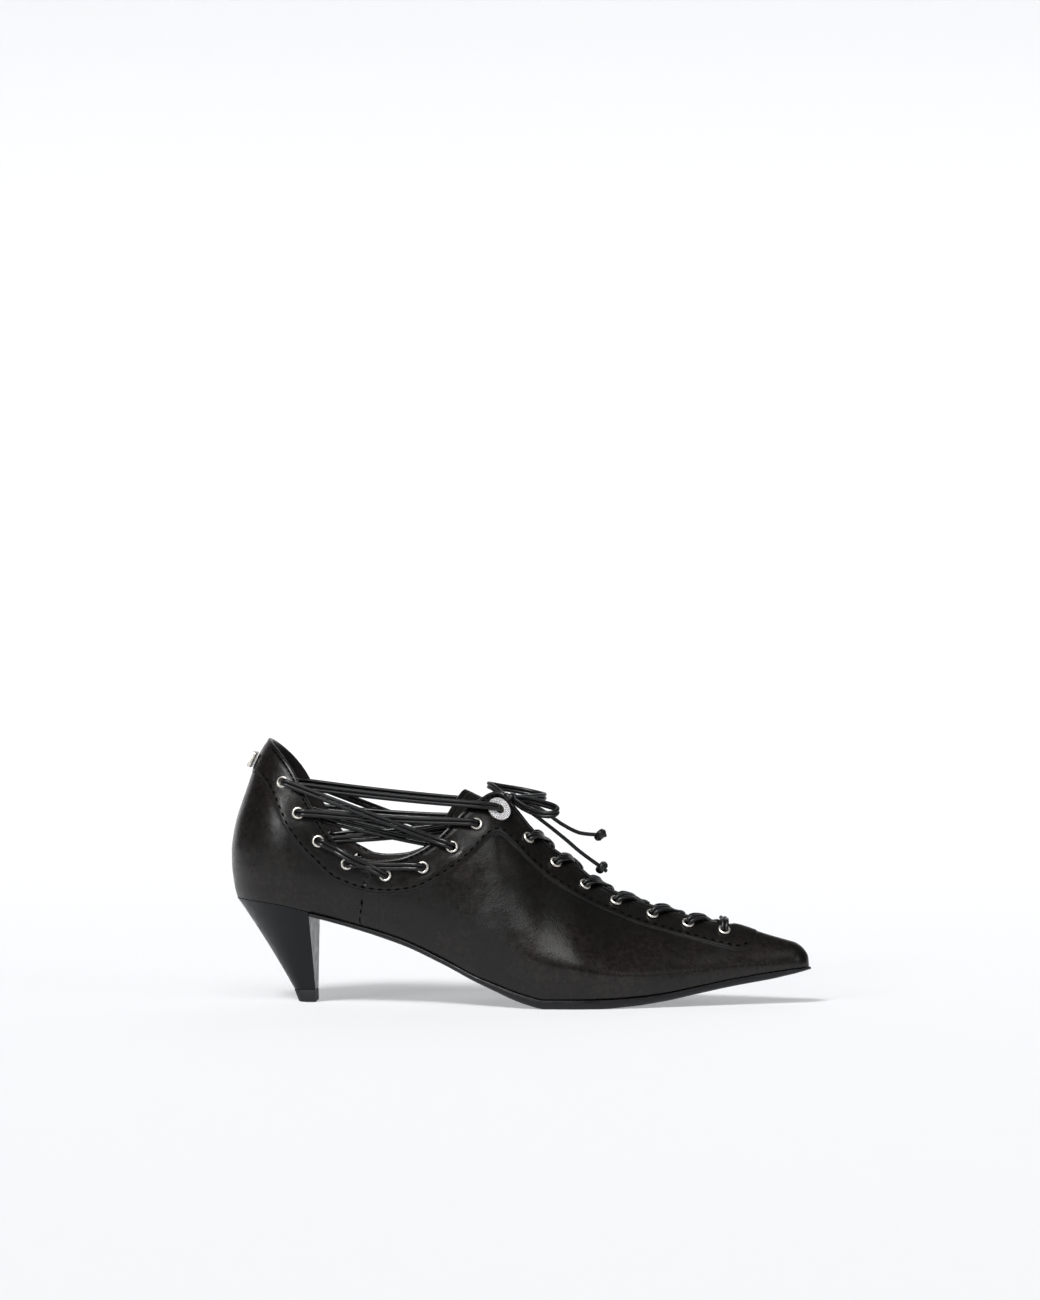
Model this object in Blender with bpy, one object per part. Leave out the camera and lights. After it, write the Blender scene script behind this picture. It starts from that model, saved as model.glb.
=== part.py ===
"""A woman's lace-up heel: a black leather pump with a pointed toe on a cone heel, laced along the
instep and across its open sides with doubled leather cord.

It is a right shoe that stands on its sole. +X runs from heel to toe, +Y to the inner (medial) side
and +Z up, with the origin on the floor under the middle of the shoe. The tables and functions work
in millimetres, and "at" is the distance in front of the heel's back. node() turns them into metres.
"""

import math

import bmesh
import bpy
import numpy as np
from mathutils import Matrix, Vector

MM = 0.001
LENGTH = 265.0
ORIGIN = Vector((133.1, -0.6, 0.0))
WALL = 1.8
GAP = 0.3

HEEL_ROUND = 34.0
TOE_ROUND = 7.0
GIRTH_RISE = 0.22
LEAN_REACH = 95.0
TOE_STUB = 0.35

LATERAL, MEDIAL = -1, 1
SIDES = {"lateral": LATERAL, "medial": MEDIAL}

# The last, one row a section: the feather edge's height, the sole's thickness below it, the ridge's
# height, the half widths at the girth, those of the tread, and how full the side and the crown are.
SECTION_COLUMNS = (
    "at", "feather", "sole", "ridge", "lateral", "medial", "tread_lateral", "tread_medial", "side", "crown",
)
SECTIONS = np.array((
    (0, 48.0, 2.0, 131.0, 30.0, 30.0, 26.0, 26.0, 0.55, 0.60),
    (20, 46.3, 2.0, 130.5, 30.8, 30.5, 27.0, 26.5, 0.52, 0.60),
    (40, 42.0, 2.0, 129.5, 31.0, 30.0, 26.0, 25.0, 0.50, 0.58),
    (60, 36.8, 2.3, 128.0, 30.0, 28.4, 24.5, 21.5, 0.45, 0.55),
    (80, 30.6, 2.8, 126.0, 29.8, 27.4, 24.0, 19.0, 0.40, 0.52),
    (100, 21.6, 2.8, 121.0, 31.4, 28.8, 26.5, 20.5, 0.34, 0.48),
    (115, 14.2, 3.0, 112.0, 34.2, 31.2, 30.0, 25.0, 0.30, 0.45),
    (124, 10.8, 3.6, 103.5, 36.4, 33.4, 32.5, 28.0, 0.28, 0.42),
    (131, 8.3, 4.1, 93.5, 38.2, 35.2, 34.8, 30.8, 0.25, 0.36),
    (138, 6.2, 4.4, 84.0, 39.8, 36.9, 36.6, 33.0, 0.23, 0.30),
    (146, 4.5, 4.5, 76.0, 41.0, 38.6, 38.0, 35.2, 0.20, 0.22),
    (158, 4.5, 4.5, 66.5, 41.3, 40.0, 38.3, 37.0, 0.20, 0.18),
    (170, 4.5, 4.5, 56.5, 39.4, 39.6, 36.5, 36.8, 0.20, 0.16),
    (185, 5.0, 4.1, 49.2, 34.6, 35.4, 31.8, 32.8, 0.20, 0.16),
    (200, 6.6, 3.7, 44.4, 28.8, 29.6, 26.4, 27.3, 0.22, 0.16),
    (215, 9.4, 3.5, 40.3, 22.9, 23.5, 21.0, 21.7, 0.25, 0.18),
    (230, 12.3, 3.5, 36.9, 17.3, 17.7, 15.8, 16.3, 0.30, 0.20),
    (245, 14.6, 3.4, 32.4, 12.1, 12.3, 11.0, 11.3, 0.36, 0.30),
    (256, 16.0, 2.6, 29.2, 8.6, 8.7, 7.7, 7.8, 0.45, 0.42),
    (265, 17.0, 1.5, 26.5, 6.2, 6.2, 5.4, 5.4, 0.50, 0.50),
))

# The heel's back seen from the side: height, and how far in front of the rearmost plane it lies.
BACK_CURVE = np.array((
    (48.0, 3.5), (52.0, 2.2), (57.0, 1.1), (63.0, 0.5), (69.0, 0.4), (75.0, 1.0), (82.0, 2.3),
    (91.0, 5.0), (99.0, 7.8), (107.0, 10.6), (114.0, 13.8), (121.4, 18.5), (131.0, 25.5),
))

# The topline seen from the side, from the collar's peak down round the open side and over the lobe.
TOPLINE = (
    (15.0, 124.5), (17.8, 121.2), (22.2, 117.2), (27.2, 111.9), (31.3, 106.4), (35.0, 99.9), (39.7, 91.3),
    (43.2, 85.9), (48.0, 78.4), (54.0, 72.1), (62.5, 67.3), (70.5, 66.3), (78.5, 66.9), (86.1, 69.3),
    (94.5, 74.3), (102.8, 82.0), (110.0, 89.6), (115.0, 93.2), (119.5, 95.7), (123.9, 96.5), (127.0, 95.3),
    (129.6, 91.5),
)

# The lower edge of the trim and the facing, which are sewn on over the quarter and the vamp. It is seen
# from the side, from the collar's back round the open side, up to the large eyelet and along the lacing.
TRIM_EDGE = (
    (9.0, 105.8), (15.4, 104.4), (20.4, 98.2), (25.4, 87.8), (28.6, 81.2), (36.6, 70.8), (42.7, 64.9),
    (49.2, 58.8), (56.7, 55.0), (64.8, 52.6), (73.0, 51.7), (81.6, 52.1), (89.5, 54.0), (97.6, 58.1),
    (104.4, 62.4), (110.5, 67.3), (116.0, 72.8), (120.3, 77.3), (124.1, 79.0), (127.9, 77.2), (132.4, 72.8),
    (137.5, 67.2), (146.6, 58.9), (158.8, 51.0), (167.2, 46.4), (175.6, 42.6), (187.3, 37.8), (199.0, 34.4),
    (212.5, 30.7), (225.0, 27.5), (233.0, 25.9), (238.0, 27.2), (240.4, 31.5), (240.9, 36.5),
)
TRIM_STEP, STEP_FADE = 0.5, 8.0

# The throat's half width between the two facings, seen from above.
THROAT = np.array((
    (112.0, 17.0), (123.0, 15.5), (129.6, 11.5), (134.0, 8.8), (139.0, 7.2), (146.0, 6.0), (158.0, 4.9),
    (175.0, 4.0), (195.0, 3.4), (215.0, 3.0), (227.0, 2.6),
))
THROAT_END = 230.6

# Each eyelet's centre seen from the side. The large pair sits at the throat's top corner.
SIDE_EYELETS = (
    (26.8, 101.1), (34.4, 87.3), (43.7, 74.7), (56.6, 64.6), (73.9, 59.5), (90.8, 63.0), (103.9, 72.2), (114.6, 82.4),
)
FRONT_EYELETS = (
    (137.6, 75.6), (149.9, 64.4), (163.2, 54.4), (177.2, 47.0), (193.8, 41.0), (209.9, 36.8), (226.4, 33.7),
)
TOP_EYELET = (124.3, 88.6)
EYELET_INNER, EYELET_OUTER, EYELET_HEIGHT = 1.75, 2.8, 0.9
TOP_EYELET_INNER, TOP_EYELET_OUTER, TOP_EYELET_HEIGHT = 2.2, 5.6, 1.6
HOLE_CLEARANCE = 0.25

# The tongue, one row a section: crown height, half width, and the slope of its sides.
TONGUE = np.array((
    (108.5, 97.2, 15.5, 1.10), (116.0, 93.6, 15.0, 1.30), (124.0, 89.6, 14.0, 1.55), (131.0, 84.0, 13.0, 1.60),
    (138.0, 77.6, 12.5, 1.50), (146.0, 70.8, 12.0, 1.35), (158.0, 61.6, 11.5, 1.22), (170.0, 52.0, 11.0, 1.10),
    (185.0, 44.6, 10.5, 1.00), (200.0, 39.8, 9.8, 0.95), (215.0, 35.6, 9.0, 0.92), (226.0, 32.6, 8.0, 0.92),
))
TONGUE_THICKNESS = 1.2
TONGUE_CROWN_RADIUS = 5.0
TONGUE_SWEEP, TONGUE_SWEEP_REACH = 8.0, 22.0

BREAST_AT = 38.8
HEEL_TIP_BACK, HEEL_TIP_FRONT, HEEL_TIP_WIDTH, HEEL_TIP_ROUND = 29.6, 40.0, 7.2, 5.0
LIFT_HEIGHT, LIFT_FOOT_BACK, LIFT_FOOT_FRONT, LIFT_FOOT_WIDTH = 6.0, 31.8, 40.2, 6.5
HEEL_WAIST = 0.12

SOLE_MARGIN = 0.8
SOLE_BEVEL = 1.4
INSOLE_MARGIN, INSOLE_THICKNESS = 2.5, 2.0
INSOLE_FROM, INSOLE_TO = 3.2, 257.0

CORD = 1.8
STRAND_WIDTH, STRAND_THICKNESS, STRAND_SIDES = 3.6, 1.8, 6

# Side lacing, one row a run: the eyelets joined, where the run leaves and meets the leather, and
# whether its ends lie outside (1) or inside (-1) the wall. Eyelet 9 is the large one at the throat.
SIDE_RUNS = (
    (1, 37.0, 96.0, 7, 1, 1),
    (2, 44.5, 103.5, 8, 1, 1),
    (3, 51.5, 65.5, 5, 1, 1),
    (4, 62.5, 82.5, 6, 1, 1),
    (2, 45.5, 97.5, 7, -1, -1),
    (3, 53.0, 102.0, 8, -1, -1),
    (1, 35.5, 112.0, 9, -1, 1),
)
THREADED = (1, 2, 3, 7, 8)
THREAD_RADIUS = 1.35
OUTSIDE_LIFT, INSIDE_LIFT, TOP_LIFT_OFF = 2.5, -3.3, 3.9

# The badge at the back of the collar: a plain bar with nothing on it.
BADGE_HEIGHT, BADGE_WIDTH, BADGE_THICKNESS = 7.6, 12.0, 2.2
BADGE_Z = 110.2

# The bow, as points of each cord from the knot outwards.
TIE_EDGE, TIE_CREST = 127.5, (128.6, 0.0, 90.7)
KNOT = (128.6, 0.0, 95.0)
KNOT_RADII = (3.6, 4.6, 3.0)
LOOP_FAR = (
    (122.6, 12.0, 97.8), (117.4, 20.0, 98.4), (117.0, 27.5, 97.9), (123.5, 32.0, 96.6), (133.0, 32.5, 95.0),
    (141.0, 29.0, 93.4), (143.4, 22.0, 92.8), (139.0, 14.0, 93.6),
)
LOOP_NEAR = (
    (138.0, -8.5, 94.2), (145.0, -13.5, 91.2), (150.6, -17.0, 88.6), (151.2, -20.0, 87.0), (147.5, -20.8, 86.4),
    (141.0, -17.6, 87.4), (135.4, -12.2, 90.2),
)
END_UPPER = (
    (138.2, 2.2, 90.8), (144.2, 4.2, 87.0), (151.5, 6.4, 82.0), (158.5, 8.2, 78.8), (165.0, 9.6, 77.4),
    (169.6, 10.4, 76.9),
)
END_LOWER = (
    (138.0, -2.6, 87.6), (146.0, -3.0, 81.4), (154.0, -2.8, 74.6), (161.0, -2.2, 68.6), (167.4, -1.6, 63.6),
)
END_KNOT_RADIUS = 2.6
CORD_POINT_STEP = 5.5

COLOURS = {
    "leather": (0.018, 0.017, 0.017), "heel": (0.016, 0.018, 0.022), "rubber": (0.02, 0.02, 0.021),
    "lining": (0.022, 0.02, 0.019), "steel": (0.72, 0.70, 0.67), "cord": (0.016, 0.016, 0.017),
}
ROUGHNESS = {"leather": 0.38, "heel": 0.35, "rubber": 0.7, "lining": 0.6, "steel": 0.25, "cord": 0.42}


def eased(xs, ys, at):
    """The smooth line through the rows at "at", which never overshoots them."""
    xs, ys, at = np.asarray(xs, float), np.asarray(ys, float), np.asarray(at, float)
    steps = np.diff(xs)
    rises = np.diff(ys) / steps
    slopes = np.concatenate(([rises[0]], np.zeros(len(xs) - 2), [rises[-1]]))
    for i in range(1, len(xs) - 1):
        if rises[i - 1] * rises[i] > 0:
            before, after = 2 * steps[i] + steps[i - 1], steps[i] + 2 * steps[i - 1]
            slopes[i] = (before + after) / (before / rises[i - 1] + after / rises[i])
    i = np.clip(np.searchsorted(xs, at, side="right") - 1, 0, len(steps) - 1)
    u = np.clip((at - xs[i]) / steps[i], 0.0, 1.0)
    return (
        (1 + 2 * u) * (1 - u) ** 2 * ys[i]
        + u * (1 - u) ** 2 * steps[i] * slopes[i]
        + u**2 * (3 - 2 * u) * ys[i + 1]
        + u**2 * (u - 1) * steps[i] * slopes[i + 1]
    )


def section(column, at):
    """One column of the last's table at "at"."""
    return eased(SECTIONS[:, 0], SECTIONS[:, SECTION_COLUMNS.index(column)], at)


def rounded_end(depth, radius):
    """The share of full width at a depth inside a round end."""
    return np.sqrt(1 - (1 - np.clip(np.asarray(depth, float) / radius, 0, 1)) ** 2)


def bezier(t, a, b, c, d):
    """A cubic curve's value at t."""
    return a * (1 - t) ** 3 + 3 * b * t * (1 - t) ** 2 + 3 * c * t**2 * (1 - t) + d * t**3


def ridge_height(at):
    """The ridge's height above the floor, which rounds down over the toe's tip."""
    low = section("feather", at)
    blunt = TOE_STUB + (1 - TOE_STUB) * rounded_end(LENGTH - np.asarray(at, float), TOE_ROUND)
    return low + (section("ridge", at) - low) * blunt


def wall_point(at, rise, side):
    """(x, y, z) on the last: rise runs from 0 at the feather edge through 1 at the girth to 2 at the ridge."""
    at, rise = np.broadcast_arrays(np.asarray(at, float), np.asarray(rise, float))
    name = "lateral" if side == LATERAL else "medial"
    low, high = section("feather", at), ridge_height(at)
    girth = low + GIRTH_RISE * (high - low)
    full, foot = section(name, at), section("tread_" + name, at)
    t = np.clip(rise, 0, 1)
    lower_y = bezier(t, foot, foot + 0.6 * (full - foot), full, full)
    lower_z = bezier(t, low, low + 0.15 * (girth - low), low + 0.5 * (girth - low), girth)
    t = np.clip(rise - 1, 0, 1)
    upper_y = bezier(t, full, full, section("crown", at) * full, 0)
    upper_z = bezier(t, girth, girth + section("side", at) * (high - girth), high, high)
    y, z = np.where(rise < 1, lower_y, upper_y), np.where(rise < 1, lower_z, upper_z)
    y = y * rounded_end(at, HEEL_ROUND) * rounded_end(LENGTH - at, TOE_ROUND)
    lean = eased(BACK_CURVE[:, 0], BACK_CURVE[:, 1], z) * np.clip(1 - at / LEAN_REACH, 0, 1) ** 2
    return np.stack((at + lean, side * y, z), axis=-1)


def find_on_wall(x, z, side):
    """The (at, rise) whose point lies at x and z seen from the side."""
    lean = eased(BACK_CURVE[:, 0], BACK_CURVE[:, 1], z)
    low, high = 0.0, LENGTH
    for _ in range(40):
        at = (low + high) / 2
        ahead = at + lean * max(1 - at / LEAN_REACH, 0) ** 2 > x
        low, high = (low, at) if ahead else (at, high)
    bottom, top = 0.0, 2.0
    for _ in range(40):
        rise = (bottom + top) / 2
        above = wall_point(at, rise, side)[2] > z
        bottom, top = (bottom, rise) if above else (rise, top)
    return at, rise


def on_wall(x, z, side, lift=0.0):
    """The wall's point seen at x and z, lifted along the outward normal, and that normal."""
    at, rise = find_on_wall(x, z, side)
    step_at, step_rise = 0.4, 0.01
    along = wall_point(at + step_at, rise, side) - wall_point(at - step_at, rise, side)
    up = wall_point(at, min(rise + step_rise, 2), side) - wall_point(at, rise - step_rise, side)
    normal = Vector(np.cross(along, up)).normalized()
    if normal.y * side < 0:
        normal.negate()
    return Vector(wall_point(at, rise, side)) + normal * lift, normal


def material(name):
    """The node's Principled finish, shared by all that use it."""
    found = bpy.data.materials.get(name)
    if found:
        return found
    made = bpy.data.materials.new(name)
    made.use_nodes = True
    shader = made.node_tree.nodes["Principled BSDF"]
    shader.inputs["Base Color"].default_value = (*COLOURS[name], 1.0)
    shader.inputs["Roughness"].default_value = ROUGHNESS[name]
    shader.inputs["Metallic"].default_value = 1.0 if name == "steel" else 0.0
    return made


def mesh_of(name, points, faces):
    """A mesh in metres, with its doubles merged and its faces pointing out."""
    mesh = bpy.data.meshes.new(name)
    mesh.from_pydata([(Vector(p) - ORIGIN) * MM for p in points], [], faces)
    built = bmesh.new()
    built.from_mesh(mesh)
    bmesh.ops.remove_doubles(built, verts=built.verts, dist=0.00001)
    bmesh.ops.dissolve_degenerate(built, dist=0.000001, edges=built.edges)
    bmesh.ops.recalc_face_normals(built, faces=built.faces)
    built.to_mesh(mesh)
    built.free()
    return mesh


def node(name, mesh, finish, smooth_degrees=40):
    """A visible object, which is one piece of the shoe."""
    made = bpy.data.objects.new(name, mesh)
    bpy.context.scene.collection.objects.link(made)
    made.data.materials.append(material(finish))
    if hasattr(mesh, "shade_smooth"):
        mesh.shade_smooth()
        mesh.set_sharp_from_angle(angle=math.radians(smooth_degrees))
    return made


def helper(name, mesh):
    """A cutter or a piece of a union, which is no node."""
    made = bpy.data.objects.new(name, mesh)
    bpy.context.scene.collection.objects.link(made)
    made.hide_render = True
    made.display_type = "WIRE"
    return made


def boolean(target, other, operation):
    """Cuts or joins another object, exactly."""
    modifier = target.modifiers.new(other.name, "BOOLEAN")
    modifier.operation = operation
    modifier.object = other
    modifier.solver = "EXACT"


def tube_faces(rings, sides, closed_ends=True):
    """Quads between rings of points, with flat ends."""
    faces = [
        (r * sides + i, r * sides + (i + 1) % sides, (r + 1) * sides + (i + 1) % sides, (r + 1) * sides + i)
        for r in range(rings - 1)
        for i in range(sides)
    ]
    if closed_ends:
        faces.append(tuple(range(sides)))
        faces.append(tuple((rings - 1) * sides + i for i in range(sides)))
    return faces


def prism(outline, low, high, axis):
    """A closed outline drawn out between two levels: of y for a side view, of z for a top view."""
    points = [(a, level, b) if axis == "y" else (a, b, level) for level in (low, high) for a, b in outline]
    return points, tube_faces(2, len(outline))


def through(points, step):
    """Points spaced about step apart on the smooth curve through hand-chosen ones."""
    points = [Vector(p) for p in points]
    ends = [2 * points[0] - points[1], *points, 2 * points[-1] - points[-2]]
    out = []
    for a, b, c, d in zip(ends, ends[1:], ends[2:], ends[3:]):
        count = max(1, round((c - b).length / step))
        for k in range(count):
            t = k / count
            out.append(
                0.5
                * (2 * b + (c - a) * t + (2 * a - 5 * b + 4 * c - d) * t**2 + (3 * b - a - 3 * c + d) * t**3)
            )
    return [*out, points[-1]]


def end_spaced(low, high, count):
    """Stations between two values, closer together near both round ends."""
    return low + (high - low) * (1 - np.cos(np.linspace(0, math.pi, count))) / 2


def upper_stations():
    """Where the upper's sections lie: dense round the heel's back and the toe's tip."""
    heel = HEEL_ROUND * (1 - np.cos(np.linspace(0, math.pi / 2, 8)))
    toe = LENGTH - TOE_ROUND * (1 - np.cos(np.linspace(0, math.pi / 2, 5)))[::-1]
    return np.concatenate((heel, np.arange(HEEL_ROUND + 8, LENGTH - TOE_ROUND - 3, 10.4), toe))


def upper_shell(name, outer, inner):
    """A closed skin over the last, between two depths below its surface.

    The outer depth fades out towards the feather edge, so that the wall stays flush with the sole.
    """
    stations = upper_stations()
    rises = np.concatenate((np.linspace(0, 1, 4)[:-1], 1 + np.linspace(0, 1, 7)))
    around = [(rise, LATERAL) for rise in rises] + [(rise, MEDIAL) for rise in rises[-2::-1]]
    points = [wall_point(at, rise, side) for at in stations for rise, side in around]
    wide = len(around)
    faces = [
        (r * wide + i, r * wide + i + 1, (r + 1) * wide + i + 1, (r + 1) * wide + i)
        for r in range(len(stations) - 1)
        for i in range(wide - 1)
    ]
    skin = mesh_of(name, points, faces)
    built = bmesh.new()
    built.from_mesh(skin)
    bmesh.ops.recalc_face_normals(built, faces=built.faces)
    top = max(built.verts, key=lambda v: v.co.z)
    if sum(f.normal.z for f in top.link_faces) < 0:
        bmesh.ops.reverse_faces(built, faces=built.faces)
    built.normal_update()
    inside = {v: built.verts.new(v.co - v.normal * inner * MM) for v in list(built.verts)}
    for face in list(built.faces):
        built.faces.new([inside[v] for v in reversed(face.verts)])
    rim = [e for e in built.edges if e.is_boundary and e.verts[0] in inside and e.verts[1] in inside]
    for edge in rim:
        a, b = edge.verts
        built.faces.new((a, b, inside[b], inside[a]))
    for v, twin in inside.items():
        if any(e in rim for e in v.link_edges):
            twin.co.z = v.co.z
    sunk = {}
    for v in inside:
        height = v.co.z / MM - float(section("feather", v.co.x / MM + ORIGIN.x))
        sunk[v] = v.normal * outer * MM * min(max(height / STEP_FADE, 0.0), 1.0)
    for v, offset in sunk.items():
        v.co -= offset
    bmesh.ops.recalc_face_normals(built, faces=built.faces)
    if built.calc_volume(signed=True) < 0:
        bmesh.ops.reverse_faces(built, faces=built.faces)
    built.to_mesh(skin)
    built.free()
    return skin


def trim_cutter():
    """Everything above the trim's edge, through both sides."""
    roof = 145.0
    return prism([*TRIM_EDGE, (TRIM_EDGE[-1][0], roof), (-12.0, roof), (-12.0, TRIM_EDGE[0][1])], -60.0, 60.0, "y")


def topline_cutter():
    """Everything above the topline, through both sides."""
    curve = [(p.x, p.y) for p in through([(x, z, 0) for x, z in TOPLINE], 4.0)]
    roof = 145.0
    return prism([*curve, (curve[-1][0], roof), (curve[0][0], roof)], -60.0, 60.0, "y")


def throat_cutter():
    """The gap between the two facings, with a round front end."""
    stations = np.concatenate((THROAT[0, 0] + np.arange(0, 110, 7.0), [THROAT[-1, 0]]))
    widths = eased(THROAT[:, 0], THROAT[:, 1], stations)
    right = [(x, w) for x, w in zip(stations, widths)]
    reach = THROAT_END - stations[-1]
    tip = [
        (stations[-1] + reach * math.sin(a), widths[-1] * math.cos(a))
        for a in np.radians((30, 60, 90, 120, 150))
        if math.cos(a) > -0.1
    ]
    left = [(x, -y) for x, y in [*right, *tip[:-1]]][::-1]
    return prism([*right, *tip, *left], 24.0, 145.0, "z")


def all_eyelets():
    """(name, x, z, side, inner radius, outer radius, height) of every eyelet."""
    rows = []
    for word, side in SIDES.items():
        for group, places in (("side", SIDE_EYELETS), ("front", FRONT_EYELETS)):
            for i, (x, z) in enumerate(places, 1):
                rows.append((f"eyelet_{group}_{word}_{i}", x, z, side, EYELET_INNER, EYELET_OUTER, EYELET_HEIGHT))
        rows.append((
            f"eyelet_top_{word}", *TOP_EYELET, side, TOP_EYELET_INNER, TOP_EYELET_OUTER, TOP_EYELET_HEIGHT,
        ))
    return rows


def hole_cutters():
    """One drill through the wall at every eyelet."""
    points, faces, sides = [], [], 6
    for _, x, z, side, inner, _, _ in all_eyelets():
        centre, normal = on_wall(x, z, side)
        turn = normal.to_track_quat("Z", "Y")
        first = len(points)
        for depth in (-6.0, 5.0):
            for i in range(sides):
                a = 2 * math.pi * (i + 0.5) / sides
                radius = inner + HOLE_CLEARANCE
                points.append(centre + turn @ Vector((radius * math.cos(a), radius * math.sin(a), depth)))
        faces += [tuple(first + i for i in face) for face in tube_faces(2, sides)]
    return points, faces


def build_upper():
    """The one hollow leather wall, open at the collar, the sides, the throat and underneath.

    It is thinner by a step below the edge of the trim and the facing.
    """
    upper = node("upper", upper_shell("upper", TRIM_STEP, WALL), "leather")
    trim = helper("trim", upper_shell("trim", 0.0, WALL - 2 * TRIM_STEP))
    boolean(trim, helper("trim_cutter", mesh_of("trim_cutter", *trim_cutter())), "INTERSECT")
    boolean(upper, trim, "UNION")
    for name, (points, faces) in (
        ("hole_cutters", hole_cutters()),
        ("topline_cutter", topline_cutter()),
        ("throat_cutter", throat_cutter()),
    ):
        boolean(upper, helper(name, mesh_of(name, points, faces)), "DIFFERENCE")


def ring_mesh(name, inner, outer, height, sides):
    """A flat eyelet with its inner edge rounded off, centred on its own axis."""
    profile = ((inner, 0.0), (outer, 0.0), (outer - 0.25, height * 0.75), (inner + 0.1, height))
    mesh = bpy.data.meshes.new(name)
    count = len(profile)
    points = [
        (r * MM * math.cos(2 * math.pi * i / sides), r * MM * math.sin(2 * math.pi * i / sides), h * MM)
        for i in range(sides)
        for r, h in profile
    ]
    faces = [
        (i * count + k, (i + 1) % sides * count + k,
         (i + 1) % sides * count + (k + 1) % count, i * count + (k + 1) % count)
        for i in range(sides)
        for k in range(count)
    ]
    mesh.from_pydata(points, [], faces)
    return mesh


def build_eyelets():
    """Each eyelet lies on the wall round its hole. Equal ones share a mesh."""
    small = ring_mesh("eyelet", EYELET_INNER, EYELET_OUTER, EYELET_HEIGHT, 7)
    large = ring_mesh("eyelet_large", TOP_EYELET_INNER, TOP_EYELET_OUTER, TOP_EYELET_HEIGHT, 16)
    for name, x, z, side, inner, _, _ in all_eyelets():
        mesh = large if inner == TOP_EYELET_INNER else small
        made = bpy.data.objects.new(name, mesh)
        bpy.context.scene.collection.objects.link(made)
        if not mesh.materials:
            mesh.materials.append(material("steel"))
        lift = 2 * GAP if mesh is large else 1.2 * GAP
        centre, normal = on_wall(x, z, side, lift)
        made.rotation_mode = "QUATERNION"
        made.rotation_quaternion = normal.to_track_quat("Z", "Y")
        made.location = (centre - ORIGIN) * MM


def tread(at, side, margin=0.0):
    """The tread's half width, with its round toe."""
    name = "tread_lateral" if side == LATERAL else "tread_medial"
    depth = LENGTH + margin - np.asarray(at, float)
    return (section(name, np.minimum(at, LENGTH)) + margin) * rounded_end(depth, TOE_ROUND)


def build_outsole():
    """The thin sole from the heel's breast to the toe, bevelled under its edge."""
    tip = LENGTH + SOLE_MARGIN
    toe = tip - TOE_ROUND * (1 - np.cos(np.linspace(0, math.pi / 2, 5)))[::-1]
    middle = SECTIONS[(SECTIONS[:, 0] > BREAST_AT) & (SECTIONS[:, 0] < 250), 0]
    between = (middle[1:] + middle[:-1]) / 2
    stations = np.sort(np.concatenate(([BREAST_AT + 2 * GAP], middle, between, toe)))
    points = []
    for at in stations:
        inside = min(at, LENGTH)
        top = float(section("feather", inside)) - GAP
        bottom = float(section("feather", inside) - section("sole", inside))
        wide_l, wide_m = (float(tread(at, side, SOLE_MARGIN)) for side in (LATERAL, MEDIAL))
        foot_l, foot_m = max(wide_l - SOLE_BEVEL, 0.0), max(wide_m - SOLE_BEVEL, 0.0)
        shoulder = bottom + 0.45 * (top - bottom)
        points += [
            (at, -wide_l, top), (at, -wide_l, shoulder), (at, -foot_l, bottom),
            (at, foot_m, bottom), (at, wide_m, shoulder), (at, wide_m, top),
        ]
    node("outsole", mesh_of("outsole", points, tube_faces(len(stations), 6)), "rubber", 30)


def d_outline(back, front, half_width, radius, turns):
    """A D seen from above: round at the back and straight across the front."""
    shape = []
    for turn in turns:
        ahead = (front - back) * (1 - math.cos(abs(turn) * math.pi / 2))
        width = half_width(back + ahead, turn) * float(rounded_end(ahead, radius))
        shape.append((back + ahead, math.copysign(width, turn)))
    return shape


def build_heel():
    """The cone heel, drawn down from the seat's outline to the tip, and its top lift."""
    turns = np.linspace(-1, 1, 17)

    def seat_width(at, turn):
        return float(section("tread_lateral" if turn < 0 else "tread_medial", at))

    def tip_width(at, turn):
        return HEEL_TIP_WIDTH

    def lift_width(at, turn):
        return LIFT_FOOT_WIDTH

    seat = d_outline(0.0, BREAST_AT, seat_width, HEEL_ROUND, turns)
    tip = d_outline(HEEL_TIP_BACK, HEEL_TIP_FRONT, tip_width, HEEL_TIP_ROUND, turns)
    foot = d_outline(LIFT_FOOT_BACK, LIFT_FOOT_FRONT, lift_width, HEEL_TIP_ROUND, turns)
    lean = float(eased(BACK_CURVE[:, 0], BACK_CURVE[:, 1], section("feather", 0.0)))
    top = [
        (x + lean * max(1 - x / LEAN_REACH, 0) ** 2 if x < BREAST_AT - 1 else x, y, float(section("feather", x)) - GAP)
        for x, y in seat
    ]
    points = []
    for share in (0.0, 0.25, 0.5, 0.75, 1.0):
        drawn = share + HEEL_WAIST * share * (1 - share)
        for (x0, y0, z0), (x1, y1) in zip(top, tip):
            points.append((x0 + (x1 - x0) * drawn, y0 + (y1 - y0) * drawn, z0 + (LIFT_HEIGHT - z0) * share))
    node("heel", mesh_of("heel", points, tube_faces(5, len(turns))), "heel", 35)
    points = [(x, y, LIFT_HEIGHT - GAP) for x, y in tip] + [(x, y, 0.0) for x, y in foot]
    node("top_lift", mesh_of("top_lift", points, tube_faces(2, len(turns))), "rubber", 35)


def build_insole():
    """The footbed inside the wall, from the heel's seat to the toe."""
    stations = end_spaced(INSOLE_FROM, INSOLE_TO, 30)
    points = []
    for at in stations:
        ends = rounded_end(at - INSOLE_FROM, HEEL_ROUND - 4) * rounded_end(INSOLE_TO - at, TOE_ROUND)
        left = float((section("tread_lateral", at) - INSOLE_MARGIN) * ends)
        right = float((section("tread_medial", at) - INSOLE_MARGIN) * ends)
        low = float(section("feather", at))
        x = at + 3.5 * max(1 - at / LEAN_REACH, 0) ** 2
        high = low + INSOLE_THICKNESS
        points += [(x, -left, low), (x, right, low), (x, right, high), (x, -left, high)]
    node("insole", mesh_of("insole", points, tube_faces(len(stations), 4)), "lining", 30)


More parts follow.
